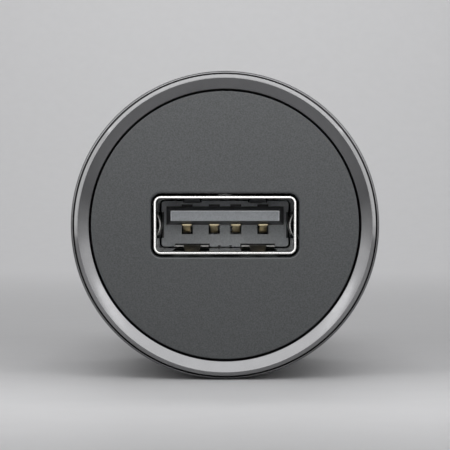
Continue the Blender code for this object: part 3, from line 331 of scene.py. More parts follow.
def smooth(obj, sharp_angle=40):
    """Smooth shading that keeps flat faces flat and hard edges hard."""
    obj.data.shade_smooth()
    obj.data.set_sharp_from_angle(angle=radians(sharp_angle))
    weighted = obj.modifiers.new("even_normals", "WEIGHTED_NORMAL")
    weighted.keep_sharp = True
    weighted.weight = 100
    return obj


def present(obj, finishes, body, *nodes):
    """Gives a finished piece its materials and its body, and hides the nodes that it stands for."""
    obj.data.materials.clear()
    for finish in finishes.split():
        obj.data.materials.append(MATERIALS[finish])
    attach(obj, body)
    if nodes:
        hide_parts(*nodes)
    return obj


def fillet(corners, steps=6):
    """Rounds a profile. Each corner is (radius, depth) or (radius, depth, size of its round)."""
    count = len(corners)
    points = []
    for i, corner in enumerate(corners):
        here = Vector(corner[:2])
        size = corner[2] if len(corner) > 2 else 0
        if not size:
            points.append(tuple(here))
            continue
        to_last = (Vector(corners[i - 1][:2]) - here).normalized()
        to_next = (Vector(corners[(i + 1) % count][:2]) - here).normalized()
        half_angle = to_last.angle(to_next) / 2
        centre = here + (to_last + to_next).normalized() * size / sin(half_angle)
        start = here + to_last * size / tan(half_angle) - centre
        sweep = start.angle_signed(here + to_next * size / tan(half_angle) - centre)
        for step in range(steps + 1):
            points.append(tuple(centre + Matrix.Rotation(-sweep * step / steps, 2) @ start))
    return points


def turned(name, corners, segments=256):
    """A solid turned round the axis from a profile, which is closed unless it reaches radius 0."""
    points = fillet(corners)
    closed = all(radius > 0 for radius, _ in points)
    bm = bmesh.new()
    rings = []
    for radius, depth in points:
        if radius == 0:
            rings.append([bm.verts.new((0, FRONT + depth, AXIS_HEIGHT))])
            continue
        turn = [2 * pi * i / segments for i in range(segments)]
        spots = [(radius * sin(a), FRONT + depth, AXIS_HEIGHT + radius * cos(a)) for a in turn]
        rings.append([bm.verts.new(spot) for spot in spots])
    pairs = list(zip(rings, rings[1:]))
    if closed:
        pairs.append((rings[-1], rings[0]))
    for a, b in pairs:
        for i in range(segments):
            j = (i + 1) % segments
            corners_of_face = [a[i % len(a)], a[j % len(a)], b[j % len(b)], b[i % len(b)]]
            bm.faces.new(list(dict.fromkeys(corners_of_face)))
    bmesh.ops.recalc_face_normals(bm, faces=bm.faces)
    return mesh_piece(name, bm)


def rounded_rectangle(width, height, corner, steps=10):
    """Corner points of a rectangle with round corners, round the axis."""
    points = []
    for quarter, (sx, sy) in enumerate(((1, 1), (-1, 1), (-1, -1), (1, -1))):
        for i in range(steps + 1):
            angle = (quarter + i / steps) * pi / 2
            x = sx * (width / 2 - corner) + corner * cos(angle)
            z = sy * (height / 2 - corner) + corner * sin(angle)
            points.append((x, z))
    return points


def lofted(name, sections, closed=False):
    """A skin over sections of equal counts of (x, depth, height) points: capped, or closed into a ring."""
    bm = bmesh.new()
    rings = [[bm.verts.new((x, FRONT + d, AXIS_HEIGHT + h)) for x, d, h in section] for section in sections]
    count = len(rings[0])
    pairs = list(zip(rings, rings[1:]))
    if closed:
        pairs.append((rings[-1], rings[0]))
    else:
        bm.faces.new(rings[0])
        bm.faces.new(rings[-1])
    for a, b in pairs:
        for i in range(count):
            j = (i + 1) % count
            bm.faces.new((a[i], a[j], b[j], b[i]))
    bmesh.ops.recalc_face_normals(bm, faces=bm.faces)
    return mesh_piece(name, bm)


def box(name, x, height, depth):
    """A box between two places each across, up and in depth."""
    bm = bmesh.new()
    bmesh.ops.create_cube(bm, size=1.0)
    size = Vector((x[1] - x[0], depth[1] - depth[0], height[1] - height[0]))
    middle = Vector((sum(x) / 2, FRONT + sum(depth) / 2, AXIS_HEIGHT + sum(height) / 2))
    bmesh.ops.transform(bm, verts=bm.verts, matrix=Matrix.Translation(middle) @ Matrix.Diagonal((*size, 1)))
    return mesh_piece(name, bm)


def turn_about_axis(obj, turn):
    centre = Matrix.Translation((0, 0, AXIS_HEIGHT))
    obj.data.transform(centre @ Matrix.Rotation(-radians(turn), 4, "Y") @ centre.inverted())
    return obj


def from_front(point):
    """A point's place across, its depth and its height."""
    return point - Vector((0, FRONT, AXIS_HEIGHT))


def smooth_path(points, steps):
    """A smooth path through points of any length, as a list of vectors."""
    vectors = [Vector(point) for point in points]
    path = []
    for i in range(len(vectors) - 1):
        before, start = vectors[max(i - 1, 0)], vectors[i]
        end, after = vectors[i + 1], vectors[min(i + 2, len(vectors) - 1)]
        for step in range(steps):
            t = step / steps
            square, cube = 2 * before - 5 * start + 4 * end - after, 3 * start - before - 3 * end + after
            bend = square * t**2 + cube * t**3
            path.append(start + ((end - before) * t + bend) / 2)
    path.append(vectors[-1])
    return path


def strip(name, path, thickness, edge, x=0.0, turn=0.0):
    """A bent sheet strip along (depth, height, width) points, with round edges, turned about the axis."""
    sections = []
    for i, point in enumerate(path):
        before, after = path[max(i - 1, 0)], path[min(i + 1, len(path) - 1)]
        along = Vector((after[0] - before[0], after[1] - before[1])).normalized()
        normal = Vector((-along.y, along.x))
        section = []
        for across, up in rounded_rectangle(point[2], thickness, edge, 3):
            depth, height = point[0] + normal.x * up, point[1] + normal.y * up
            side = x + across
            x_turned = side * cos(turn) - height * sin(turn)
            section.append((x_turned, depth, side * sin(turn) + height * cos(turn)))
        sections.append(section)
    return lofted(name, sections)


# Materials


class Surface:
    """A Principled material with its nodes within reach."""

    def __init__(self, name, colour, roughness, metallic=0.0):
        self.material = bpy.data.materials.new(name)
        self.material.use_nodes = True
        self.tree = self.material.node_tree
        self.shader = self.tree.nodes["Principled BSDF"]
        self.shader.inputs["Base Color"].default_value = (*colour, 1.0)
        self.shader.inputs["Roughness"].default_value = roughness
        self.shader.inputs["Metallic"].default_value = metallic
        self.colour = colour
        self.roughness = roughness
        self.place = self.tree.nodes.new("ShaderNodeTexCoord").outputs["Object"]

    def node(self, kind, **values):
        node = self.tree.nodes.new(kind)
        for key, value in values.items():
            node.inputs[key].default_value = value
        return node

    def noise(self, size, detail=2.0, stretch=(1, 1, 1)):
        """Noise whose features are about that many metres across, longer along an axis by its stretch."""
        mapping = self.node("ShaderNodeMapping")
        mapping.inputs["Scale"].default_value = [1 / part for part in stretch]
        self.tree.links.new(self.place, mapping.inputs["Vector"])
        noise = self.node("ShaderNodeTexNoise", Scale=1 / size, Detail=detail, Roughness=0.55)
        self.tree.links.new(mapping.outputs["Vector"], noise.inputs["Vector"])
        return noise.outputs["Fac"]

    def spread(self, value, low, high):
        """Maps the middle of a noise to a range."""
        span = self.tree.nodes.new("ShaderNodeMapRange")
        span.inputs["From Min"].default_value = 0.3
        span.inputs["From Max"].default_value = 0.7
        span.inputs["To Min"].default_value = low
        span.inputs["To Max"].default_value = high
        self.tree.links.new(value, span.inputs["Value"])
        return span.outputs["Result"]

    def mottle(self, value, amount):
        """Lightens and darkens the colour by that share."""
        mix = self.tree.nodes.new("ShaderNodeMix")
        mix.data_type = "RGBA"
        mix.inputs["A"].default_value = (*[c * (1 - amount) for c in self.colour], 1)
        mix.inputs["B"].default_value = (*[c * (1 + amount) for c in self.colour], 1)
        self.tree.links.new(self.spread(value, 0, 1), mix.inputs["Factor"])
        self.tree.links.new(mix.outputs["Result"], self.shader.inputs["Base Color"])
        return self

    def vary_roughness(self, value, amount):
        span = self.spread(value, self.roughness - amount, self.roughness + amount)
        self.tree.links.new(span, self.shader.inputs["Roughness"])
        return self

    def bump(self, value, depth, strength=1.0):
        bump = self.node("ShaderNodeBump", Strength=strength, Distance=depth)
        self.tree.links.new(value, bump.inputs["Height"])
        self.tree.links.new(bump.outputs["Normal"], self.shader.inputs["Normal"])
        return self


def make_materials():
    made = {}

    def add(key, surface):
        made[key] = surface.material
        return surface

    gunmetal = add("gunmetal", Surface("gunmetal_anodised", (0.168, 0.168, 0.172), 0.17, 1.0))
    gunmetal.mottle(gunmetal.noise(1.5 * MM), 0.03)
    gunmetal.vary_roughness(gunmetal.noise(0.4 * MM), 0.02)
    gunmetal.bump(gunmetal.noise(0.09 * MM, 3), 0.0012 * MM, 0.2)

    polished = add("polished", Surface("gunmetal_polished", (0.31, 0.31, 0.315), 0.13, 1.0))
    polished.mottle(polished.noise(1.5 * MM), 0.03)
    polished.vary_roughness(polished.noise(0.3 * MM), 0.02)

    matt = add("matt", Surface("black_matt_grain", (0.0485, 0.0515, 0.0535), 0.62))
    grain = matt.noise(0.13 * MM, 3)
    matt.mottle(grain, 0.32)
    matt.bump(grain, 0.012 * MM, 0.8)

    edge = add("edge", Surface("black_smooth_edge", (0.053, 0.056, 0.059), 0.24))
    edge.mottle(edge.noise(0.2 * MM), 0.10)

    satin = add("satin", Surface("black_satin_plastic", (0.030, 0.030, 0.032), 0.42))
    fine = satin.noise(0.08 * MM, 3)
    satin.mottle(satin.noise(2.5 * MM), 0.12)
    satin.bump(fine, 0.005 * MM, 0.5)

    # The wall and the tongue are one plastic; the wall's much lighter colour is painted light for the light
    # that reaches the port's back.
    insulator = add("insulator", Surface("insulator_wall_painted_light", (0.695, 0.725, 0.755), 0.55))
    insulator.mottle(insulator.noise(0.16 * MM, 3), 0.10)
    insulator.bump(insulator.noise(0.12 * MM, 3), 0.006 * MM, 0.5)
    tongue = add("tongue", Surface("insulator_tongue", (0.182, 0.192, 0.203), 0.5))
    tongue.mottle(tongue.noise(0.12 * MM, 3), 0.14)
    tongue.bump(tongue.noise(0.12 * MM, 3), 0.006 * MM, 0.5)
    # A lighter band on the tongue's front edge: a painted highlight.
    rubbed = add("rubbed", Surface("insulator_painted_highlight", (0.31, 0.325, 0.34), 0.45))
    rubbed.mottle(rubbed.noise(0.12 * MM, 3), 0.14)
    # A dark plastic that is painted shade, on the tongue's flanks, the wall's hidden sides and the shell's
    # depths.
    flank = add("flank", Surface("insulator_painted_shade", (0.060, 0.062, 0.066), 0.4))
    flank.mottle(flank.noise(0.16 * MM, 3), 0.10)

    nickel = add("nickel", Surface("nickel_plate", (0.74, 0.735, 0.72), 0.26, 1.0))
    nickel.mottle(nickel.noise(0.9 * MM), 0.03)
    nickel.vary_roughness(nickel.noise(0.9 * MM), 0.04)

    sheared = add("sheared", Surface("sheared_sheet", (0.32, 0.32, 0.31), 0.45, 1.0))
    sheared.mottle(sheared.noise(0.3 * MM), 0.12)

    # A dull dark metal for the roof springs, cut from the same sheet as the floor's: painted shade.
    painted_shade_spring = add("painted_shade_spring", Surface("spring_painted_shade", (0.16, 0.165, 0.17), 0.55, 0.3))
    painted_shade_spring.mottle(painted_shade_spring.noise(0.3 * MM), 0.10)

    steel = add("steel", Surface("spring_steel", (0.50, 0.50, 0.51), 0.42, 1.0))
    steel.vary_roughness(steel.noise(0.3 * MM), 0.06)

    bronze = add("bronze", Surface("spring_bronze", (0.28, 0.26, 0.22), 0.4, 1.0))
    bronze.mottle(bronze.noise(0.25 * MM), 0.15)
    bronze.vary_roughness(bronze.noise(0.2 * MM), 0.06)

    gold = add("gold", Surface("gold_flash", (0.40, 0.345, 0.225), 0.34, 1.0))
    gold.mottle(gold.noise(0.3 * MM), 0.08)
    gold.vary_roughness(gold.noise(0.12 * MM), 0.05)

    board = add("board", Surface("board_black", (0.012, 0.016, 0.014), 0.5))
    board.mottle(board.noise(0.8 * MM), 0.15)
    ferrite = add("ferrite", Surface("ferrite", (0.05, 0.05, 0.055), 0.7))
    ferrite.mottle(ferrite.noise(0.2 * MM), 0.2)
    copper = add("copper", Surface("enamelled_copper", (0.62, 0.24, 0.10), 0.35, 1.0))
    copper.mottle(copper.noise(0.5 * MM), 0.1)
    can = add("can", Surface("aluminium_can", (0.75, 0.75, 0.76), 0.3, 1.0))
    can.vary_roughness(can.noise(0.3 * MM), 0.05)
    chip = add("chip", Surface("chip_black", (0.025, 0.025, 0.027), 0.5))
    chip.mottle(chip.noise(0.1 * MM), 0.2)
    ceramic = add("ceramic", Surface("chip_ceramic", (0.45, 0.32, 0.20), 0.5))
    ceramic.mottle(ceramic.noise(0.1 * MM), 0.1)
    return made


MATERIALS = make_materials()


# Head


def make_bezel():
    """The ring: bevel, polished rim and neck. The wall and ledge behind the bevel are satin black as painted
    shade, darkening the groove at the bevel's foot.
    """
    neck = SLEEVE_BORE - PRESS_GAP
    rim = BEZEL_CHAMFER + BEZEL_RIM_LAND
    ledge = PLATE_FRONT + PLATE_THICKNESS + SEAT_GAP
    corners = [
        (BEZEL_OPENING, PLATE_FRONT, BEVEL_FOOT_ROUND),
        (CREST_RADIUS, 0, FINE_EDGE),
        (BEZEL_RADIUS, BEZEL_CHAMFER, FINE_EDGE),
        (BEZEL_RADIUS, rim, FINE_EDGE),
        (neck, rim),
        (neck, BEZEL_REAR),
        (LEDGE_RADIUS, BEZEL_REAR),
        (LEDGE_RADIUS, ledge),
        (BEZEL_OPENING, ledge),
    ]
    bezel = smooth(turned("bezel_ring_fine", corners, HEAD_SEGMENTS))
    present(bezel, "gunmetal polished satin", "charger", "bezel_ring")
    # The black satin on the wall and ledge behind the bevel is painted shade.
    polished, painted_groove_shade = 1, 2
    for polygon in bezel.data.polygons:
        x, depth, height = from_front(polygon.center)
        radius = sqrt(x * x + height * height)
        if radius > CREST_RADIUS and depth < rim:
            polygon.material_index = polished
        elif radius < BEZEL_OPENING + FINE_EDGE and depth > PLATE_FRONT + FINE_EDGE:
            polygon.material_index = painted_groove_shade


def make_sleeve():
    """The sleeve: a thin lip round the ring, a bore, and a floor with a hole for the barrel."""
    barrel_hole = BARREL_RADIUS + SEAT_GAP
    floor = HEAD_LENGTH - SLEEVE_FLOOR
    corners = [
        (SLEEVE_BORE, SLEEVE_FRONT + SLEEVE_LIP_DEPTH),
        (SLEEVE_LIP_BORE, SLEEVE_FRONT + SLEEVE_LIP_STRAIGHT),
        (SLEEVE_LIP_BORE, SLEEVE_FRONT, FINE_EDGE),
        (HEAD_RADIUS, SLEEVE_FRONT, SLEEVE_LIP_ROUND),
        (HEAD_RADIUS, HEAD_LENGTH, SLEEVE_REAR_ROUND),
        (barrel_hole, HEAD_LENGTH, FINE_EDGE),
        (barrel_hole, floor),
        (SLEEVE_BORE, floor),
    ]
    sleeve = smooth(turned("head_sleeve_fine", corners, HEAD_SEGMENTS))
    present(sleeve, "gunmetal", "charger", "head_sleeve")


def make_plate():
    """The recessed disc, with a small round and smoother edge to the port's cut-out."""
    rear = PLATE_FRONT + PLATE_THICKNESS
    corners = [
        (0, PLATE_FRONT),
        (PLATE_RADIUS, PLATE_FRONT, PLATE_EDGE_ROUND),
        (PLATE_RADIUS, rear),
        (0, rear),
    ]
    plate = turned("face_plate_fine", corners, HEAD_SEGMENTS)
    # Depth and growth of the cut-out: flared in front of the disc, round at its face, then straight through
    edge = [(-CUTOUT_GAP, CUTOUT_FLARE)]
    for turn in CUTOUT_ROUND_TURNS:
        edge.append((CUTOUT_ROUND * (1 - cos(radians(turn))), CUTOUT_ROUND * (1 - sin(radians(turn)))))
    edge.append((2 * PLATE_THICKNESS, 0))
    width, height = SHELL_WIDTH + 2 * CUTOUT_GAP, SHELL_HEIGHT + 2 * CUTOUT_GAP
    corner = SHELL_CORNER + CUTOUT_GAP
    sections = []
    for depth, growth in edge:
        outline = rounded_rectangle(width + 2 * growth, height + 2 * growth, corner + growth)
        sections.append([(x, PLATE_FRONT + depth, SHELL_MIDDLE + z) for x, z in outline])
    boolean(plate, lofted("cutout", sections))
    present(smooth(plate), "matt edge", "charger", "face_plate")
    cutout_edge = 1
    for polygon in plate.data.polygons:
        if abs(polygon.center.x) < SHELL_WIDTH and abs(polygon.normal.y) < FLAT_FACE:
            polygon.material_index = cutout_edge


# Port


def make_shell():
    """The folded sheet tube, its mouth's edge rounded, with its six springs. Its depths and the windows'
    edges behind the mouth are painted dark, as painted shade.
    """
    outer, inner = SHELL_OUTER_ROUND, SHELL_INNER_ROUND
    sections = []
    for depth, inset, rise in (
        (SHELL_REAR, 0, 0),
        (SHELL_FRONT + outer, 0, 0),
        (SHELL_FRONT + outer / 3, outer / 3, 0),
        (SHELL_FRONT, outer, 0),
        (SHELL_FRONT, SHELL_SHEET - inner, 0),
        (SHELL_FRONT + inner / 3, SHELL_SHEET - inner / 3, 0),
        (SHELL_FRONT + inner, SHELL_SHEET, 0),
        (SHELL_FRONT + SHELL_FLARE, SHELL_SHEET, SHELL_FLOOR_RISE),
        (SHELL_REAR, SHELL_SHEET, SHELL_FLOOR_RISE),
    ):
        width, height = SHELL_WIDTH - 2 * inset, SHELL_HEIGHT - 2 * inset - rise
        outline = rounded_rectangle(width, height, SHELL_CORNER - inset)
        sections.append([(x, depth, SHELL_MIDDLE + z + rise / 2) for x, z in outline])
    shell = lofted("usb_shell_fine", sections, closed=True)
    walls = {0: -SHELL_BOTTOM, 180: SHELL_TOP, 90: SHELL_WIDTH / 2, -90: SHELL_WIDTH / 2}
    for name, widths, window, reach, turn, along in SPRINGS:
        wall = walls[turn] - SHELL_SHEET
        cut_window(shell, wall, window, turn, along)
        make = make_side_spring if abs(turn) == 90 else make_spring
        make(name, widths, reach, wall, turn, along)
    present(smooth(shell), "nickel flank", "charger", "usb_shell")
    # The dark plastic on the shell's depths and window edges is painted shade.
    painted_shell_shade = 1
    for polygon in shell.data.polygons:
        x, depth, height = from_front(polygon.center)
        across = abs(x) < SHELL_WIDTH / 2 - PAINTED_SHADE_INSET and abs(polygon.normal.x) > LOOKS_ALONG
        upright = abs(height) < PAINTED_SHADE_HEIGHT and abs(polygon.normal.z) > LOOKS_ALONG
        window_edge = across or upright or polygon.normal.y < -LOOKS_ALONG
        behind_mouth = depth > SHELL_FRONT + PAINTED_SHADE_DEPTH
        if depth > SHELL_FRONT + SHELL_FLARE or window_edge and behind_mouth:
            polygon.material_index = painted_shell_shade


def cut_window(shell, wall, window, turn, along):
    """The opening that a spring is cut from."""
    sides = (along - window / 2, along + window / 2)
    depth = (SHELL_FRONT + SPRING_TIP - SPRING_TIP_GAP, SHELL_FRONT + SPRING_ROOT)
    tool = box("window", sides, (-wall - 2 * SHELL_SHEET, -wall + SHELL_SHEET), depth)
    boolean(shell, turn_about_axis(tool, turn))


def make_spring(name, widths, reach, wall, turn, along):
    """A sprung finger, and the broad shoulder that it starts from."""
    shoulder_width, width, tip_width = widths
    sheet = -wall - SHELL_SHEET / 2
    shoulder = SHELL_FRONT + SPRING_SHOULDER
    rise = sheet + SHOULDER_REACH * reach
    root = [
        (SHELL_FRONT + SPRING_ROOT + SHELL_SHEET, sheet, shoulder_width),
        (shoulder + SHELL_SHEET, rise, shoulder_width),
        (shoulder, rise, shoulder_width),
    ]
    base = strip(name + "_shoulder", root, SHOULDER_SHEET, SPRING_EDGE, along, radians(turn))
    # The roof springs get the dull dark metal as painted shade.
    present(smooth(base), "sheared" if turn == 0 else "painted_shade_spring", "charger")
    points = [(shoulder + SHELL_SHEET / 2, rise, width)]
    for depth, share in FINGER_LINE:
        points.append((SHELL_FRONT + depth, sheet + share * reach, width))
    points.append((SHELL_FRONT + SPRING_TIP, sheet + FINGER_TIP_REACH * reach, tip_width))
    place = FINGER_INWARD * along
    finger = strip(name, smooth_path(points, 5), SHELL_SHEET, SPRING_EDGE, place, radians(turn))
    present(smooth(finger), "bronze" if turn == 0 else "painted_shade_spring", "charger")


def make_side_spring(name, widths, reach, wall, turn, along):
    """A broad leaf that is domed across, so its front edge shows as a crescent."""
    half_width = widths[0] / 2
    side = 1 if turn == 90 else -1
    steps = 16
    sections = []
    for depth, share in SIDE_SPRING_LINE:
        inner, outer = [], []
        for i in range(steps + 1):
            up = half_width * (1 - 2 * i / steps)
            dome = 1 - (up / half_width) ** 2
            bulge = share * reach * dome - wall
            sheet = SIDE_SPRING_SHEET * (SIDE_SPRING_EDGE + (1 - SIDE_SPRING_EDGE) * dome)
            inner.append((bulge, up + along))
            outer.append((bulge - sheet, up + along))
        outline = inner + outer[::-1]
        sections.append([(side * x, SHELL_FRONT + depth, z) for x, z in outline])
    present(smooth(lofted(name, sections), 50), "sheared", "charger")


def make_wall():
    """The wall at the back of the port."""
    sections = []
    for depth, inset in (
        (WALL_FRONT, WALL_ROUND),
        (WALL_FRONT + WALL_ROUND / 3, WALL_ROUND / 3),
        (WALL_FRONT + WALL_ROUND, 0),
        (SHELL_REAR - SEAT_GAP, 0),
    ):
        width, height = WALL_WIDTH - 2 * inset, WALL_TOP - WALL_BOTTOM - 2 * inset
        outline = rounded_rectangle(width, height, WALL_CORNER - inset)
        sections.append([(x, depth, z + (WALL_BOTTOM + WALL_TOP) / 2) for x, z in outline])
    return lofted("usb_insulator_fine", sections)


def make_tongue():
    """The tongue, with a narrow edge and a steep chamfer round its front."""
    side, top, low = TONGUE_CHAMFERS
    chamfer_end = TONGUE_FRONT + TONGUE_CHAMFER_DEPTH
    sections = []
    # Depth, and share of the chamfer that is left
    for depth, share in (
        (TONGUE_FRONT, 1.2),
        (TONGUE_FRONT + TONGUE_EDGE, 1.0),
        (chamfer_end, 0.01),
        (chamfer_end + TONGUE_CORNER, 0),
        (WALL_FRONT + CUT_REACH, 0),
    ):
        lowest, highest = TONGUE_BOTTOM + share * low, TONGUE_TOP - share * top
        width = TONGUE_WIDTH - 2 * share * side
        outline = rounded_rectangle(width, highest - lowest, TONGUE_CORNER, 3)
        sections.append([(x, depth, (lowest + highest) / 2 + z) for x, z in outline])
    return lofted("tongue", sections)


def cut_pole_slots(insulator):
    """For each pole, a slot in the wall, a groove under the tongue and a notch above it."""
    slot_top = TONGUE_BOTTOM + POLE_GROOVE
    notch_low = TONGUE_TOP + PRESS_GAP
    under_tongue = (TONGUE_FRONT + POLE_GROOVE_SETBACK, WALL_FRONT)
    into_wall = (WALL_FRONT - CUT_REACH, WALL_FRONT + CUT_REACH)
    through_wall = (WALL_FRONT - CUT_REACH, SHELL_REAR)
    cuts = (
        ("slot", (TONGUE_BOTTOM - POLE_SLOT_HEIGHT, slot_top), through_wall),
        ("groove", (TONGUE_BOTTOM - CUT_OVERLAP, slot_top), under_tongue),
        ("notch", (notch_low, notch_low + POLE_NOTCH_HEIGHT), into_wall),
    )
    for pitch in POLE_PITCHES:
        middle = pitch * POLE_SLOT_SPREAD
        across = (middle - POLE_SLOT_WIDTH / 2, middle + POLE_SLOT_WIDTH / 2)
        for name, height, depth in cuts:
            boolean(insulator, box(name, across, height, depth))


def cut_reliefs(insulator):
    """Room for the springs at the wall's edges, and the two nicks at its foot."""
    depth = (WALL_FRONT - CUT_REACH, WALL_FRONT + RELIEF_DEPTH)
    edges = {0: -WALL_BOTTOM, 180: WALL_TOP, 90: WALL_WIDTH / 2, -90: WALL_WIDTH / 2}
    for _, _, window, reach, turn, along in SPRINGS:
        sides = (along - window / 2, along + window / 2)
        height = (-edges[turn] - CUT_OVERLAP, -edges[turn] + RELIEF_REACH * reach)
        boolean(insulator, turn_about_axis(box("relief", sides, height, depth), turn))
    for x in (-NICK_PLACE, NICK_PLACE):
        sides = (x - NICK_WIDTH / 2, x + NICK_WIDTH / 2)
        boolean(insulator, box("nick", sides, (WALL_BOTTOM - CUT_OVERLAP, WALL_BOTTOM + NICK_HEIGHT), depth))


def make_insulator():
    """The wall and the tongue in one: the wall painted lighter than the tongue as painted light, the flanks
    painted dark as painted shade, and a painted highlight along the front's top and side edges.
    """
    insulator = make_wall()
    boolean(insulator, make_tongue(), "UNION")
    cut_pole_slots(insulator)
    cut_reliefs(insulator)
    present(smooth(insulator), "insulator tongue flank rubbed", "charger", "usb_insulator")
    tongue, flank, rubbed = 1, 2, 3
    for polygon in insulator.data.polygons:
        depth, normal = polygon.center.y - FRONT, polygon.normal
        in_edge = TONGUE_FRONT + TONGUE_EDGE / 10 < depth < TONGUE_FRONT + TONGUE_EDGE
        # The tongue's flanks and the wall behind its front are painted dark as painted shade.
        if depth > WALL_FRONT + 2 * WALL_ROUND or depth < WALL_FRONT and abs(normal.y) < LOOKS_ALONG:
            polygon.material_index = flank
        elif in_edge and normal.z > HIGHLIGHT_LOWEST_LOOK:
            polygon.material_index = rubbed
        elif depth < WALL_FRONT - WALL_ROUND:
            polygon.material_index = tongue


def make_poles():
    """Sprung poles below the tongue: each starts in a broader lip that keeps its tip up."""
    tip, crest = TONGUE_FRONT + POLE_TIP_SETBACK, TONGUE_FRONT + POLE_CREST_SETBACK
    crest_height = TONGUE_BOTTOM - POLE_BOW + POLE_SHEET / 2
    straight = TONGUE_BOTTOM - POLE_STRAIGHT_DROP
    lip_end, drop_end = tip + POLE_LIP_LENGTH, tip + POLE_DROP_LENGTH
    path = [
        (tip, TONGUE_BOTTOM, POLE_LIP_TIP_WIDTH),
        (tip + POLE_LIP_TAPER, TONGUE_BOTTOM, POLE_LIP_WIDTH),
        (lip_end, TONGUE_BOTTOM, POLE_LIP_WIDTH),
    ]
    steps = 14
    for i in range(steps + 1):
        share = i / steps
        depth = lip_end + POLE_NARROWING + (drop_end - lip_end) * share
        height = TONGUE_BOTTOM + (crest_height - TONGUE_BOTTOM) * sin(share * pi / 2)
        path.append((depth, height, POLE_WIDTH))
    path.append((crest, crest_height, POLE_WIDTH))
    steps = 24
    for i in range(1, steps + 1):
        share = i / steps
        rise = (1 - cos(pi * share)) / 2
        height = crest_height + (straight - crest_height) * rise
        path.append((crest + (WALL_FRONT - crest) * share, height, POLE_WIDTH))
    path.append((SHELL_REAR, straight, POLE_WIDTH))
    for name, x in zip(POLE_NAMES, POLE_PITCHES):
        pole = strip(name + "_fine", path, POLE_SHEET, POLE_EDGE, x)
        present(smooth(pole), "gold", "charger", name)


# Plug


def make_housing():
    """Cradle, flange, barrel and neck, with a window for each side contact."""
    barrel_end_inside = BARREL_END - BARREL_END_WALL
    corners = [
        (CRADLE_BORE, CRADLE_FRONT, FINE_EDGE),
        (CRADLE_RADIUS, CRADLE_FRONT, FINE_EDGE),
        (CRADLE_RADIUS, FLANGE_FRONT),
        (FLANGE_RADIUS, FLANGE_FRONT),
        (FLANGE_RADIUS, FLANGE_REAR),
        (BARREL_RADIUS, FLANGE_REAR),
        (BARREL_TAIL_RADIUS, BARREL_END, BARREL_END_ROUND),
        (NECK_RADIUS, BARREL_END, NECK_FILLET),
        (NECK_RADIUS, NECK_END, FINE_EDGE),
        (NECK_BORE, NECK_END, FINE_EDGE),
        (NECK_BORE, barrel_end_inside),
        (BARREL_BORE, barrel_end_inside),
        (BARREL_BORE, FLANGE_REAR),
        (CRADLE_BORE, FLANGE_FRONT),
    ]
    housing = turned("main_housing_fine", corners)
    start, end = (place - WINDOW_GAP for place in CONTACT_BOW)
    width = CONTACT_WIDTH + 2 * WINDOW_GAP
    for side in (-1, 1):
        sections = []
        for x in WINDOW_SIDES:
            outline = rounded_rectangle(end - start, width, WINDOW_CORNER, 8)
            sections.append([(side * x, (start + end) / 2 + along, up) for along, up in outline])
        boolean(housing, lofted("window", sections))
    present(smooth(housing), "satin", "charger", "main_housing")


def make_cap():
    """The nose cap, fluted round its front edge for grip."""
    bore = PIN_RADIUS + PIN_GUIDE_GAP
    wall = CAP_END - CAP_END_WALL
    corners = [
        (NECK_RADIUS + PRESS_GAP, CAP_FRONT, FINE_EDGE),
        (CAP_RADIUS, CAP_FRONT, CAP_FRONT_ROUND),
        (CAP_RADIUS, CAP_END, CAP_END_ROUND),
        (bore, CAP_END, CAP_BORE_ROUND),
        (bore, wall),
        (NECK_RADIUS + PRESS_GAP, wall),
    ]
    cap = turned("nose_cap_fine", corners, CAP_SEGMENTS)
    out = CAP_RADIUS + FLUTE_RADIUS - FLUTE_DEPTH
    steps = 32
    for i in range(FLUTE_COUNT):
        angle = 2 * pi * (i + 0.5) / FLUTE_COUNT
        sections = []
        for depth, share in FLUTE_LINE:
            size = share * FLUTE_RADIUS
            section = []
            for k in range(steps):
                around = 2 * pi * k / steps
                x, z = out * cos(angle) + size * cos(around), out * sin(angle) + size * sin(around)
                section.append((x, CAP_FRONT + depth, z))
            sections.append(section)
        boolean(cap, lofted("flute", sections))
    present(smooth(cap, 30), "satin", "charger", "nose_cap")


def make_pin():
    """The centre pin: a tail inside its spring, a flange that the cap holds, and a domed tip."""
    flange_front, flange_rear = PIN_FLANGE
    corners = [
        (0, PIN_TAIL_FRONT),
        (PIN_TAIL_RADIUS, PIN_TAIL_FRONT, PIN_TAIL_ROUND),
        (PIN_TAIL_RADIUS, flange_front),
        (PIN_FLANGE_RADIUS, flange_front),
        (PIN_FLANGE_RADIUS, flange_rear),
        (PIN_RADIUS, flange_rear),
    ]
    steps = 16
    for i in range(steps):
        angle = pi / 2 * i / steps
        corners.append((PIN_RADIUS * cos(angle), PIN_TIP - PIN_DOME + PIN_DOME * sin(angle)))
    corners.append((0, PIN_TIP))
    present(smooth(turned("centre_pin_fine", corners, PIN_SEGMENTS)), "nickel", "plug_pin", "centre_pin")


def make_coil():
    """The spring behind the pin, its end turns close together."""
    front, rear = node_front("pin_spring"), node_rear("pin_spring")
    first, last = front + COIL_WIRE, rear - COIL_WIRE
    around, steps_per_turn = 10, 36
    count = COIL_TURNS * steps_per_turn
    sections = []
    for i in range(count + 1):
        share = i / count
        eased = share - COIL_END_CLOSENESS * sin(2 * pi * share) / (2 * pi)
        angle = 2 * pi * i / steps_per_turn
        section = []
        for k in range(around):
            out = COIL_RADIUS + COIL_WIRE * cos(2 * pi * k / around)
            depth = first + (last - first) * eased + COIL_WIRE * sin(2 * pi * k / around)
            section.append((out * cos(angle), depth, out * sin(angle)))
        sections.append(section)
    coil = lofted("pin_spring_fine", sections)
    coil.data.shade_smooth()
    present(coil, "steel", "charger", "pin_spring")
    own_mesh(coil)


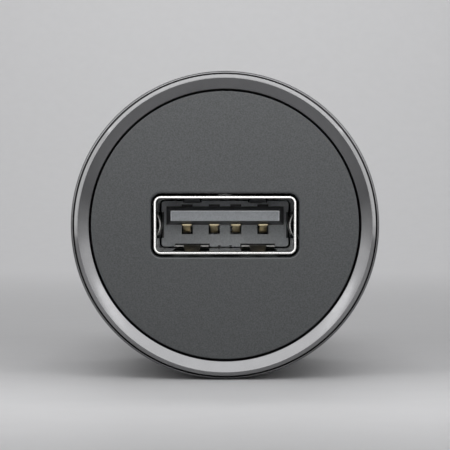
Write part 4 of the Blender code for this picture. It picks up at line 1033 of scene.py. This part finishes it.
def make_leaf(side, turn):
    """A side contact: a broad leaf with round edges that bows out of its window."""
    start, end = CONTACT_BOW
    path = [(CONTACT_FRONT, CONTACT_LINE, CONTACT_WIDTH), (start - CONTACT_LEAD, CONTACT_LINE, CONTACT_WIDTH)]
    steps = 64
    for i in range(steps + 1):
        share = i / steps
        out = CONTACT_BOW_HEIGHT * sin(pi * share) ** 2
        path.append((start + (end - start) * share, CONTACT_LINE + out, CONTACT_WIDTH))
    path.append((CONTACT_REAR, CONTACT_LINE, CONTACT_WIDTH))
    leaf = strip(f"side_contact_{side}_fine", path, CONTACT_SHEET, CONTACT_EDGE, 0, radians(turn))
    present(smooth(leaf), "nickel", f"{side}_leaf", f"side_contact_{side}")


# Pieces inside, whose shape stays as it is


def dress_node(name, material):
    """Gives a node its material and even shading."""
    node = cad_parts[name]
    node.data.materials.clear()
    node.data.materials.append(MATERIALS[material])
    weld = node.modifiers.new("weld", "WELD")
    weld.merge_threshold = MERGE_DISTANCE
    node.data.shade_smooth()
    weighted = node.modifiers.new("even_normals", "WEIGHTED_NORMAL")
    weighted.weight = 100


def dress_inside():
    for material, names in (
        ("nickel", ("positive_terminal",)),
        ("board", ("circuit_board",)),
        ("ferrite", ("inductor_core",)),
        ("copper", ("inductor_winding",)),
        ("can", ("input_capacitor", "output_capacitor")),
        ("chip", ("converter_chip", "charge_control_chip", "rectifier_diode")),
        ("ceramic", ("board_fuse", *[f"ceramic_capacitor_{i}" for i in (1, 2, 3)])),
        ("chip", [f"resistor_{i}" for i in (1, 2, 3, 4)]),
    ):
        for name in names:
            dress_node(name, material)


# Camera, light and floor

CAMERA_DISTANCE = 140 * MM
CAMERA_CLIP = (1 * MM, 10.0)
PHOTO_WIDTH = 450
PIXELS_PER_MM = 11.0
FRAME_WIDTH_AT_FACE = PHOTO_WIDTH / PIXELS_PER_MM * MM
SENSOR = 36.0
# Floor and light boxes are in metres
FLOOR_SIDE = 1.6
FLOOR_FRONT = -0.45
BACKDROP_PLACE = 0.55
BACKDROP_BEND = 0.25
BACKDROP_TOP = 0.9
WORLD_LIGHT = 0.10
WORLD_SEEN = 0.45
# Each soft box: name, place seen from the face, size, radiance
MIDDLE_BOXES = (
    ("front_high", (0, -0.0255, 0.0235), (0.072, 0.024), 2.25),
    ("overhead", (0, 0.02, 0.20), (0.50, 0.05), 1.2),
    ("front", (0, -0.12, 0.012), (0.12, 0.047), 1.7),
)
# The same for the boxes that stand on both sides
SIDE_BOXES = (
    ("side_high", (0.051, -0.0495, 0.0236), (0.036, 0.036), 0.9),
    ("side", (0.11, -0.075, 0.012), (0.06, 0.09), 0.58),
    ("rim", (0.17, 0.03, 0.040), (0.07, 0.18), 0.8),
)
# Name, place, aim, size, radiance
BACKDROP_BOX = ("backdrop_wash", (0, 0.28, 0.45), (0, 0.50, 0.12), (0.5, 0.2), 5.0)


def make_camera():
    """A camera straight in front of the face, at the axis's height."""
    data = bpy.data.cameras.new("camera")
    data.sensor_width = SENSOR
    data.lens = SENSOR * CAMERA_DISTANCE / FRAME_WIDTH_AT_FACE
    data.clip_start, data.clip_end = CAMERA_CLIP
    camera = link(bpy.data.objects.new("camera", data))
    camera.location = (0, FRONT + PLATE_FRONT - CAMERA_DISTANCE, AXIS_HEIGHT)
    camera.rotation_euler = (pi / 2, 0, 0)
    bpy.context.scene.camera = camera


def make_floor():
    """A pale floor that curves up into a backdrop far behind."""
    bend_start = BACKDROP_PLACE - BACKDROP_BEND
    line = [(FLOOR_FRONT, 0.0), (bend_start, 0.0)]
    steps = 16
    for i in range(1, steps + 1):
        angle = pi / 2 * i / steps
        line.append((bend_start + BACKDROP_BEND * sin(angle), BACKDROP_BEND * (1 - cos(angle))))
    line.append((BACKDROP_PLACE, BACKDROP_TOP))
    bm = bmesh.new()
    rows = [[bm.verts.new((x, y, z)) for x in (-FLOOR_SIDE, FLOOR_SIDE)] for y, z in line]
    for a, b in zip(rows, rows[1:]):
        bm.faces.new((a[0], a[1], b[1], b[0]))
    floor = mesh_piece("studio_floor", bm)
    floor.data.shade_smooth()
    paper = Surface("studio_paper", (0.61, 0.61, 0.62), 0.6)
    paper.mottle(paper.noise(4 * MM), 0.01)
    floor.data.materials.append(paper.material)


def make_world():
    """A weak even light, seen brighter by the camera and in reflections."""
    world = bpy.data.worlds.new("studio")
    bpy.context.scene.world = world
    world.use_nodes = True
    tree = world.node_tree
    background = tree.nodes["Background"]
    background.inputs["Color"].default_value = (1, 1, 1, 1)
    rays = tree.nodes.new("ShaderNodeLightPath")
    seen = rays.outputs["Is Camera Ray"]
    for kind in ("Is Glossy Ray", "Is Transmission Ray"):
        either = tree.nodes.new("ShaderNodeMath")
        either.operation = "MAXIMUM"
        tree.links.new(seen, either.inputs[0])
        tree.links.new(rays.outputs[kind], either.inputs[1])
        seen = either.outputs["Value"]
    strength = tree.nodes.new("ShaderNodeMapRange")
    strength.inputs["To Min"].default_value = WORLD_LIGHT
    strength.inputs["To Max"].default_value = WORLD_SEEN
    tree.links.new(seen, strength.inputs["Value"])
    tree.links.new(strength.outputs["Result"], background.inputs["Strength"])


def add_light(name, place, aim, size, radiance):
    """A soft box of a given size and radiance."""
    data = bpy.data.lights.new(name, "AREA")
    data.shape = "RECTANGLE"
    data.size, data.size_y = size
    data.energy = radiance * pi * size[0] * size[1]
    light = link(bpy.data.objects.new(name, data))
    light.location = place
    light.rotation_euler = (Vector(aim) - Vector(place)).to_track_quat("-Z", "Y").to_euler()
    light.visible_camera = False


def make_lights():
    face = Vector((0, FRONT, AXIS_HEIGHT))
    for name, place, size, radiance in MIDDLE_BOXES:
        add_light(name, face + Vector(place), face, size, radiance)
    for side in (-1, 1):
        for name, (x, y, z), size, radiance in SIDE_BOXES:
            add_light(f"{name}_{side}", face + Vector((side * x, y, z)), face, size, radiance)
    add_light(*BACKDROP_BOX)


def main():
    make_camera()
    make_floor()
    make_world()
    make_lights()
    make_bezel()
    make_sleeve()
    make_plate()
    make_shell()
    make_poles()
    make_insulator()
    make_housing()
    make_cap()
    make_pin()
    make_coil()
    make_leaf("left", 90)
    make_leaf("right", -90)
    dress_inside()
    bpy.context.scene.view_settings.view_transform = "Standard"


main()
